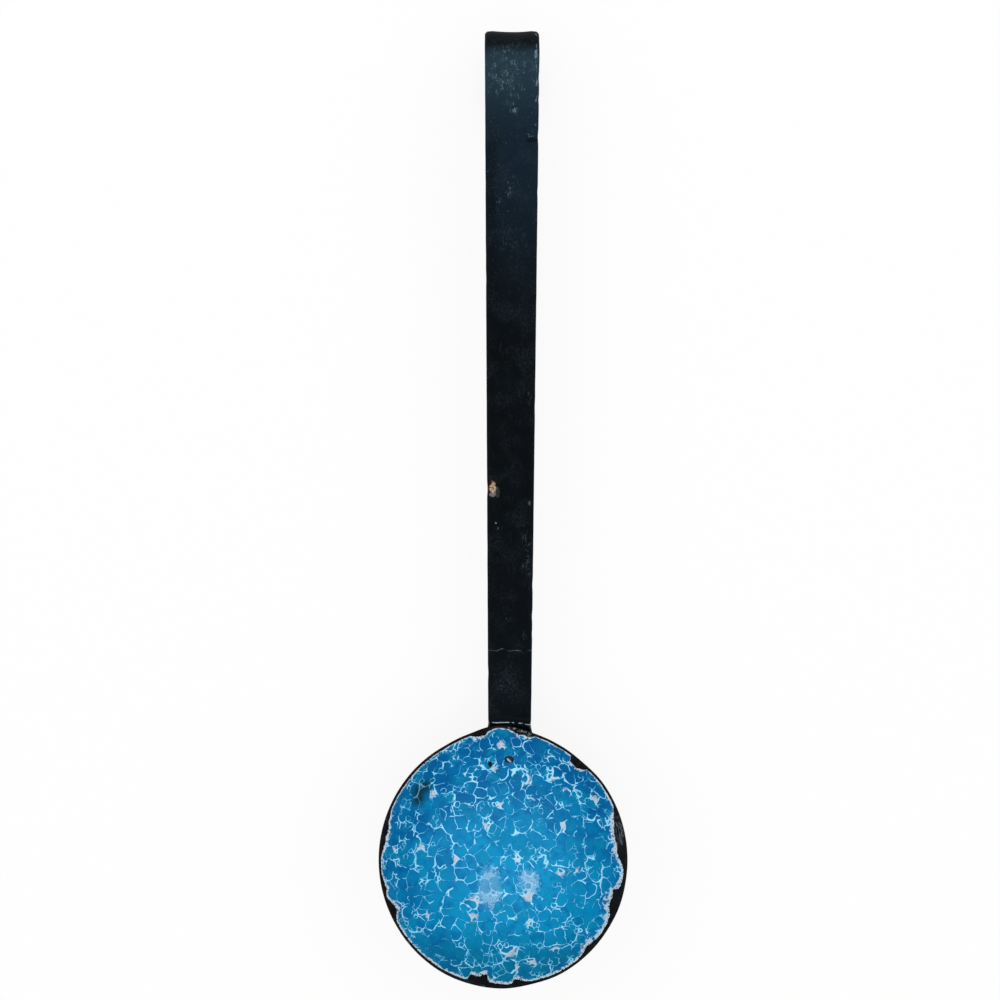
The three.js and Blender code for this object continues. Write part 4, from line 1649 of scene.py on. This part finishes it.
@dataclass(frozen=True)
class StrapHandle:
    """Strap handle: the tang on the bowl, the bend at the rim, the straight run and the rolled hook."""

    bowl: Bowl
    thickness: float = 1.8
    edge_round: float = 0.88
    end_face: float = 0.12
    width_at_rim: float = 16.8
    width_at_hook: float = 21.0
    offset_at_rim: float = 2.6
    offset_at_hook: float = 3.5
    run_start: float = 1.253
    run_end: float = 252.78
    rise: float = math.radians(16)
    bend_radius: float = 0.8
    stand_off: float = 2.767
    seat_gap: float = 0.3
    tang_width: float = 20.0
    tang_length: float = 28.0
    tang_corner: float = 8.0
    tang_flare: float = 13.0
    hook_radius: float = 13.0
    hook_turn: float = math.radians(195)
    tip_length: float = 7.0
    tip_corner: float = 5.0
    hook_dish: float = 0.7
    dish_run: float = 20.0
    droop: float = 0.7
    droop_width: float = 2.6
    droop_run: float = 6.0
    ripple: float = 0.12
    ripple_run: float = 7.0
    ripple_width: float = 2.5
    hollow: float = 0.09
    hollow_run: float = 16.0
    ripple_row: float = 4.0
    hollow_row: float = 2.0
    least_half: float = 0.2
    corner_steps: int = 6
    face_steps: int = 10
    nicks: tuple[Nick, ...] = (
        Nick(246, 1, 3.0, 0.16), Nick(238, 1, 2.2, 0.14), Nick(224, 1, 3.4, 0.22),
        Nick(203, 1, 3.0, 0.12), Nick(170, -1, 4.0, 0.12), Nick(121, 1, 4.0, 0.12),
        Nick(89, -1, 4.0, 0.2), Nick(52, 1, 3.5, 0.16), Nick(40, 1, 3.0, 0.14),
        Nick(33, 1, 2.4, 0.12), Nick(18, -1, 3.0, 0.1),
    )

    @property
    def seat_radius(self) -> float:
        """Radius of the tang's middle, from the centre of the bowl's sphere."""
        return self.bowl.radius + self.seat_gap + self.thickness / 2

    def stretches(self) -> Iterator[Stretch]:
        """Gives the stretches, from the tang's end to the hook's tip.

        Yields:
            The tang, its stand-off, the bend, the run, the run into the dish, the roll and the tip.
        """
        middle = self.seat_radius
        half = self.thickness / 2
        tang_turn = self.tang_length / self.bowl.radius
        off_turn = self.stand_off / middle
        bend_turn = self.bowl.rim_polar(self.bowl.radius) + off_turn - self.rise
        dish = 2 * self.hook_dish / (self.width_at_hook / 2) ** 2
        run = self.run_end - self.run_start
        flat = 1 - self.dish_run / run
        end = self._on_run(1.0, dish)

        def tang(share: float) -> Section:
            """Section of the tang, which is rounded at its end."""
            return self._at_rim(self._tang_width(self.tang_length * (1 - share)), 1 / middle)

        def tip(share: float) -> Section:
            """Section of the hook's tip, which is rounded at its end."""
            from_end = self.tip_length * (1 - share)
            return replace(end, width=self._rounded(self.width_at_hook, self.tip_corner, from_end))

        def straight(share: float) -> Section:
            """Section of the flat part of the run."""
            return self._on_run(flat * share, 0.0)

        def into_dish(share: float) -> Section:
            """Section where the run turns into the hook's dish."""
            return self._on_run(blend(flat, 1.0, share), dish * ease(share, 0, 1))

        def bend(share: float) -> Section:
            """Section of the bend, which grows flat."""
            return self._at_rim(self.width_at_rim, (1 - share) / middle)

        yield Stretch(middle * tang_turn, tang_turn, steps=36, shape=tang)
        yield Stretch(self.stand_off, off_turn, steps=2, shape=lambda share: bend(0.0))
        yield Stretch((self.bend_radius + half) * bend_turn, -bend_turn, steps=16, shape=bend)
        yield Stretch(run - self.dish_run, 0.0, steps=200, shape=straight)
        yield Stretch(self.dish_run, 0.0, steps=20, shape=into_dish)
        roll = (self.hook_radius + half) * self.hook_turn
        yield Stretch(roll, -self.hook_turn, steps=60, shape=lambda share: end)
        yield Stretch(self.tip_length, 0.0, steps=24, shape=tip)

    def _at_rim(self, width: float, curvature: float) -> Section:
        """Section by the rim, where the strap follows the bowl."""
        return Section(width, self.offset_at_rim, curvature, 0.0)

    def _on_run(self, share: float, curvature: float) -> Section:
        """Section on the straight run.

        Args:
            share: Share of the run's length.
            curvature: Curvature of the section there.

        Returns:
            The section.
        """
        width = blend(self.width_at_rim, self.width_at_hook, share)
        offset = blend(self.offset_at_rim, self.offset_at_hook, share)
        return Section(width, offset, curvature, self.offset_at_hook)

    @staticmethod
    def _rounded(width: float, corner: float, from_end: float) -> float:
        """Width of a strip near its end, where its corners are rounded."""
        into = max(corner - from_end, 0.0)
        return width - 2 * (corner - math.sqrt(corner**2 - into**2))

    def _tang_width(self, below_rim: float) -> float:
        """Width of the tang at a distance below the rim."""
        width = blend(self.width_at_rim, self.tang_width, ease(below_rim, 0, self.tang_flare))
        return self._rounded(width, self.tang_corner, self.tang_length - below_rim)

    def route(self) -> list[Station]:
        """Walks along the strap.

        Returns:
            Stations from the tang's end to the tip. Their along counts from about the bend at the rim.
        """
        heading = self.bowl.rim_polar(self.bowl.radius) - self.tang_length / self.bowl.radius
        y, z = self.seat_radius * math.sin(heading), -self.seat_radius * math.cos(heading)
        stretches = list(self.stretches())
        along = self.run_start - sum(stretch.length for stretch in stretches[:3])
        stations = []
        for stretch in stretches:
            for step in range(1 if stations else 0, stretch.steps + 1):
                share = step / stretch.steps
                gone = stretch.length * share
                half = stretch.turn * share / 2
                chord = gone * (math.sin(half) / half if half else 1.0)
                place = (y + chord * math.cos(heading + half), z + chord * math.sin(heading + half))
                stations.append(Station(*place, heading + 2 * half, along + gone, stretch.shape(share)))
            y, z, heading = stations[-1].y, stations[-1].z, stations[-1].heading
            along += stretch.length
        return [self._drawn_out(station) for station in stations]

    def _drawn_out(self, station: Station) -> Station:
        """Moves a station out with the bowl's wall, which is drawn out under the handle.

        Args:
            station: Station on the true route.

        Returns:
            The moved station.
        """
        direction = math.degrees(math.atan2(self.bowl.radius, self.offset_at_rim))
        polar = math.degrees(math.atan2(station.y, -station.z))
        return replace(station, y=station.y + self.bowl.drawn_out.shift(direction, polar))

    def outline(self, width: float, draw_in: float) -> list[tuple[float, float]]:
        """Rounded section of the strap, drawn in on all sides near its ends.

        Args:
            width: Width of the strap there.
            draw_in: How far the outline lies inside the full one.

        Returns:
            Points as across and through, once round.
        """
        half = max(width / 2 - draw_in, self.least_half)
        face = self.thickness / 2 - draw_in
        corner = min(self.edge_round, face, half)
        flat = half - corner
        points = []
        for quarter, (right, top) in enumerate(((1, -1), (1, 1), (-1, 1), (-1, -1))):
            for step in range(self.corner_steps + 1):
                angle = (quarter - 1 + step / self.corner_steps) * math.pi / 2
                across = right * flat + corner * math.cos(angle)
                points.append((across, top * (face - corner) + corner * math.sin(angle)))
            if right == top:
                for step in range(1, self.face_steps):
                    points.append((right * blend(flat, -flat, step / self.face_steps), top * face))
        return points

    def worn(self, station: Station, across: float, through: float) -> tuple[float, float]:
        """Wears a point of the section: nicks in the edges, and faces that aren't quite flat.

        Args:
            station: Where the section is.
            across: Place across it.
            through: Place through it.

        Returns:
            The worn across and through.
        """
        half = station.section.width / 2
        edge = ease(abs(across), half - self.ripple_width, half)
        side = math.copysign(self.ripple_row, across)
        ripple = self.ripple * wave(Vector((station.along / self.ripple_run, side, 0)))
        for nick in self.nicks:
            if nick.side * across > 0:
                ripple += nick.depth * (1 - ease(abs(station.along - nick.along), 0, nick.half_length))
        spread = Vector((station.along, 2 * across, 0)) / self.hollow_run
        hollow = self.hollow * wave(spread + Vector((0, 0, self.hollow_row)))
        onto_roll = ease(station.along, self.run_end - self.droop_run, self.run_end + self.droop_run)
        sunk = self.droop * onto_roll * ease(abs(across), half - self.droop_width, half) ** 2
        through = through * (1 - hollow / (self.thickness / 2)) - sunk
        return across - math.copysign(ripple * edge, across), through

    def place(self, station: Station, across: float, through: float) -> Vector:
        """Place of a point of a station's section in the ladle's own frame.

        Args:
            station: Where the section is.
            across: Place across it.
            through: Place through it.

        Returns:
            The place.
        """
        section = station.section
        arm = section.offset + across - section.about
        sideways, lift = arm, through
        if section.curvature:
            reach = 1 / section.curvature - through
            sideways = reach * math.sin(arm * section.curvature)
            lift = 1 / section.curvature - reach * math.cos(arm * section.curvature)
        y = station.y - math.sin(station.heading) * lift
        return Vector((section.about + sideways, y, station.z + math.cos(station.heading) * lift))

    def build(self, seat: Seat, material: bpy.types.Material) -> bpy.types.Object:
        """Makes the strap by drawing its section along the route.

        Args:
            seat: Where the ladle lies.
            material: Its finish.

        Returns:
            The piece.
        """
        route = self.route()
        bm = bmesh.new()
        layers = [bm.verts.layers.float.new(name) for name in ("across", "along", "through")]
        count = len(self.outline(self.width_at_rim, 0.0))
        ring = bmesh.ops.create_circle(bm, cap_ends=False, radius=1.0, segments=count)["verts"]
        edges = bm.edges[:]
        for number, station in enumerate(route):
            if number:
                fresh = bmesh.ops.extrude_edge_only(bm, edges=edges)["geom"]
                sides = (item for item in fresh if isinstance(item, bmesh.types.BMEdge))
                edges = [side for side in sides if side.is_boundary]
                ring = self._follow(ring, fresh)
            from_end = min(station.along - route[0].along, route[-1].along - station.along)
            into = max(self.edge_round - from_end, 0.0)
            draw_in = self.edge_round - max(math.sqrt(self.edge_round**2 - into**2), self.end_face)
            for vert, (across, through) in zip(ring, self.outline(station.section.width, draw_in)):
                across, through = self.worn(station, across, through)
                vert.co = self.place(station, across, through)
                for layer, value in zip(layers, (across, station.along, through)):
                    vert[layer] = value
        bmesh.ops.holes_fill(bm, edges=[edge for edge in bm.edges if edge.is_boundary], sides=0)
        bmesh.ops.remove_doubles(bm, verts=bm.verts[:], dist=MERGE_GAP)
        bmesh.ops.recalc_face_normals(bm, faces=bm.faces[:])
        return settle(finished_piece("strap_body", bm, seat), Node.STRAP, Slot.HANDLE_ENAMEL, material)

    @staticmethod
    def _follow(
        ring: Sequence[bmesh.types.BMVert], fresh: Sequence[object]
    ) -> list[bmesh.types.BMVert]:
        """Gives the new verts of an extrusion in the order of the ring that they came from.

        Args:
            ring: Verts that were extruded.
            fresh: What the extrusion made.

        Returns:
            The new ring.
        """
        new = {item for item in fresh if isinstance(item, bmesh.types.BMVert)}
        following = []
        for vert in ring:
            others = (edge.other_vert(vert) for edge in vert.link_edges)
            following.append(next(other for other in others if other in new))
        return following


# Rivets


@dataclass(frozen=True)
class Rivet:
    """One rivet through the bowl and the tang: across the strap, below the rim, and its inner head."""

    node: Node
    across: float
    below_rim: float
    head_height: float


@dataclass(frozen=True)
class RivetSet:
    """Three rivets. The lining bares the centre head and a crescent by the left one, and covers the rest.

    Crown is the half section of a head, as shares of its radius and height, from its top to its foot.
    """

    bowl: Bowl
    offset: float = 2.6
    shank: float = 1.4
    inner_head: float = 1.95
    outer_head: float = 2.4
    inner_seat: float = 49.486
    outer_seat: float = 53.086
    outer_height: float = 0.88
    cover: float = 0.52
    cover_top: float = 0.8
    cover_reach: float = 3.4
    bare_reach: tuple[float, float] = (1.9, 2.05)
    crescent: tuple[float, float] = (98.0, 46.8)
    crescent_reach: tuple[float, float] = (0.9, 1.8)
    glint_slash_height: float = 0.8
    untrue: float = 0.05
    untrue_scale: float = 1.1
    untrue_stretch: float = 3.0
    segments: int = 40
    crown: tuple[tuple[float, float], ...] = (
        (0.0, 1.0), (0.42, 0.95), (0.72, 0.78), (0.92, 0.48), (1.0, 0.2), (0.97, 0.0),
    )
    left: Rivet = Rivet(Node.RIVET_LEFT, -6.0, 20.0, 0.5)
    centre: Rivet = Rivet(Node.RIVET_CENTRE, 0.0, 18.0, 0.86)
    right: Rivet = Rivet(Node.RIVET_RIGHT, 6.0, 20.0, 0.5)

    def axis(self, rivet: Rivet) -> Vector:
        """Direction of a rivet, out from the centre of the bowl's sphere.

        Args:
            rivet: Which rivet.

        Returns:
            The direction, of length 1.
        """
        aside = (self.offset + rivet.across) / self.bowl.radius
        up = self.bowl.rim_polar(self.bowl.radius) - rivet.below_rim / self.bowl.radius
        return Vector((math.sin(aside), math.cos(aside) * math.sin(up), -math.cos(aside) * math.cos(up)))

    def bare_patches(self, radius: float) -> list[tuple[Vector, tuple[float, float]]]:
        """Patches that the lining leaves bare, as their middle and half sizes."""
        round_centre = (self.axis(self.centre) * radius, self.bare_reach)
        return [round_centre, (bowl_point(*self.crescent, radius), self.crescent_reach)]

    def cover_over(self, point: Vector) -> float:
        """How far the lining rises at a point where it covers a rivet's head."""
        gap = min(point.normalized().angle(self.axis(rivet)) for rivet in (self.left, self.right))
        return self.cover * (1 - ease(gap * point.length, self.cover_top, self.cover_reach))

    def glint_slash(self) -> Vector:
        """Finds the bright stroke on the bare centre head, a painted highlight and a rub.

        Returns:
            Its place in the ladle's own frame.
        """
        axis = self.axis(self.centre)
        depth = self.bowl.radius - self.inner_seat + self.glint_slash_height
        return self.bowl.press(axis * self.bowl.radius) - axis * depth

    def profile(self, rivet: Rivet) -> list[tuple[float, float]]:
        """Half section of a rivet.

        Args:
            rivet: Which rivet.

        Returns:
            Points as radius and distance from the sphere's centre, from the inner crown to the outer one.
        """
        inner = [(self.inner_head * r, self.inner_seat - rivet.head_height * h) for r, h in self.crown]
        outer = [(self.outer_head * r, self.outer_seat + self.outer_height * h) for r, h in self.crown]
        return [*inner, (self.shank, self.inner_seat), (self.shank, self.outer_seat), *reversed(outer)]

    def build(self, seat: Seat, material: bpy.types.Material) -> list[bpy.types.Object]:
        """Makes the rivets, each a turned section that is a little out of true.

        Args:
            seat: Where the ladle lies.
            material: Their finish.

        Returns:
            The pieces.
        """
        pieces = []
        for rivet in (self.left, self.centre, self.right):
            bm = bmesh.new()
            chain = [bm.verts.new((radius, 0, height)) for radius, height in self.profile(rivet)]
            for first, last in zip(chain, chain[1:]):
                bm.edges.new((first, last))
            spin_round(bm, self.segments)
            for vert in bm.verts:
                place = Vector((vert.co.x, vert.co.y + rivet.across, vert.co.z / self.untrue_stretch))
                squeeze = 1 - abs(self.untrue * noise.noise(place * self.untrue_scale))
                vert.co.x *= squeeze
                vert.co.y *= squeeze
            axis = self.axis(rivet)
            turn = Vector((0, 0, 1)).rotation_difference(axis).to_matrix()
            bmesh.ops.rotate(bm, verts=bm.verts[:], cent=(0, 0, 0), matrix=turn)
            seated = axis * self.bowl.radius
            bmesh.ops.translate(bm, verts=bm.verts[:], vec=self.bowl.press(seated) - seated)
            piece = finished_piece(f"{rivet.node.value}_body", bm, seat)
            pieces.append(settle(piece, rivet.node, Slot.RIVET_STEEL, material))
        return pieces


# Studio


@dataclass(frozen=True)
class Softbox:
    """Square lamp that faces the ladle: place and size in metres, and how bright its face is."""

    name: str
    place: Triple
    size: float
    brightness: float
    tint: Colour

    def build(self, target: Vector) -> None:
        """Makes the lamp.

        Args:
            target: Point that it is turned to.
        """
        data = bpy.data.lights.new(self.name, "AREA")
        data.shape = "SQUARE"
        data.size = self.size
        data.energy = self.brightness * math.pi * self.size**2
        data.color = self.tint[:3]
        lamp = bpy.data.objects.new(self.name, data)
        bpy.context.scene.collection.objects.link(lamp)
        lamp.location = self.place
        lamp.rotation_euler = (target - lamp.location).to_track_quat("-Z", "Y").to_euler()
        lamp.visible_camera = False


@dataclass(frozen=True)
class Studio:
    """Pale floor, a soft lamp, a bright sky with a dark spot overhead, and the camera straight above.

    The spans are heights of the sky, 1 being straight up: from the dark spot to the bright sky, and from
    the sky to the walls.
    """

    floor_size: float = 6.0
    floor_drop: float = 0.0002
    floor_colour: Colour = paint(240, 240, 240)
    floor_glow: float = 0.86
    sky: float = 1.3
    wall: float = 0.45
    ceiling: float = 0.06
    spot_span: tuple[float, float] = (0.999, 0.957)
    wall_span: tuple[float, float] = (0.66, 0.25)
    target: Triple = (0, 0, 0.02)
    camera_place: Triple = (-0.001138, -0.0011, 0.5397)
    camera_focal: float = 47.99
    camera_near: float = 0.01
    sensor: float = 36.0
    lamp: Softbox = Softbox("sky_light", (0.0, 0.72, 0.95), 0.75, 0.6, paint(220, 240, 255))

    def build(self) -> None:
        """Makes the studio round the ladle."""
        self._floor()
        self._walls()
        self.lamp.build(Vector(self.target))
        self._camera()
        bpy.context.scene.view_settings.view_transform = "Standard"

    def _camera(self) -> None:
        """Makes the camera, which looks straight down."""
        data = bpy.data.cameras.new("camera")
        data.sensor_width = self.sensor
        data.lens = self.camera_focal
        data.clip_start = self.camera_near
        camera = bpy.data.objects.new("camera", data)
        bpy.context.scene.collection.objects.link(camera)
        camera.location = self.camera_place
        bpy.context.scene.camera = camera

    def _floor(self) -> None:
        """Makes the floor: white to the eye and in reflections, and still shaded by the ladle."""
        bm = bmesh.new()
        bmesh.ops.create_grid(bm, x_segments=1, y_segments=1, size=self.floor_size / 2)
        bmesh.ops.translate(bm, verts=bm.verts[:], vec=(0, 0, -self.floor_drop))
        mesh = bpy.data.meshes.new("floor")
        bm.to_mesh(mesh)
        bm.free()
        floor = bpy.data.objects.new("floor", mesh)
        bpy.context.scene.collection.objects.link(floor)
        material = bpy.data.materials.new("pale_floor")
        graph = Graph.emptied(material)
        matt = graph.add("BsdfDiffuse", {"Color": self.floor_colour})
        glow = graph.add("Emission", {"Strength": 1.0})
        path = graph.add("LightPath").outputs
        seen = graph.largest(path["Is Camera Ray"], path["Is Glossy Ray"], path["Is Transmission Ray"])
        share = graph.times(seen, self.floor_glow)
        mixed = graph.add("MixShader", {0: share, 1: matt.outputs[0], 2: glow.outputs[0]})
        graph.add("OutputMaterial", {"Surface": mixed.outputs[0]})
        mesh.materials.append(material)

    def _walls(self) -> None:
        """Makes the world: white to the eye, and else a sky with a dark spot overhead and dimmer walls."""
        world = bpy.data.worlds.new("walls")
        bpy.context.scene.world = world
        graph = Graph.emptied(world)
        up = graph.axis(graph.add("TexCoord").outputs["Generated"], "Z")
        overhead = graph.remap(up, *self.spot_span, self.ceiling, self.sky)
        round_sky = graph.remap(up, *self.wall_span, overhead, self.wall)
        seen = graph.add("LightPath").outputs["Is Camera Ray"]
        strength = graph.math("MULTIPLY_ADD", seen, graph.minus(1.0, round_sky), round_sky)
        shine = graph.add("Background", {"Color": (1, 1, 1, 1), "Strength": strength})
        graph.add("OutputWorld", {"Surface": shine.outputs[0]})


def main() -> None:
    """Builds the ladle piece by piece, then the studio."""
    logging.basicConfig(level=logging.INFO, format="%(name)s: %(message)s")
    LOG.info("frame with %d nodes", len(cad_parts))
    shelf = EffectShelf()
    bowl = Bowl()
    seat = Seat.of_bowl(bowl.depth)
    strap = StrapHandle(bowl)
    rivets = RivetSet(bowl)
    bowl.build_shell(seat, BlackEnamel().material(seat, shelf, bowl.inner_radius))
    bowl.build_lining(seat, rivets, MottledEnamel().material(shelf, bowl.face_radius))
    strap.build(seat, HandleEnamel().material(shelf))
    rivets.build(seat, RivetFinish().material(seat, shelf, rivets.glint_slash()))
    Studio().build()


if __name__ == "__main__":
    main()
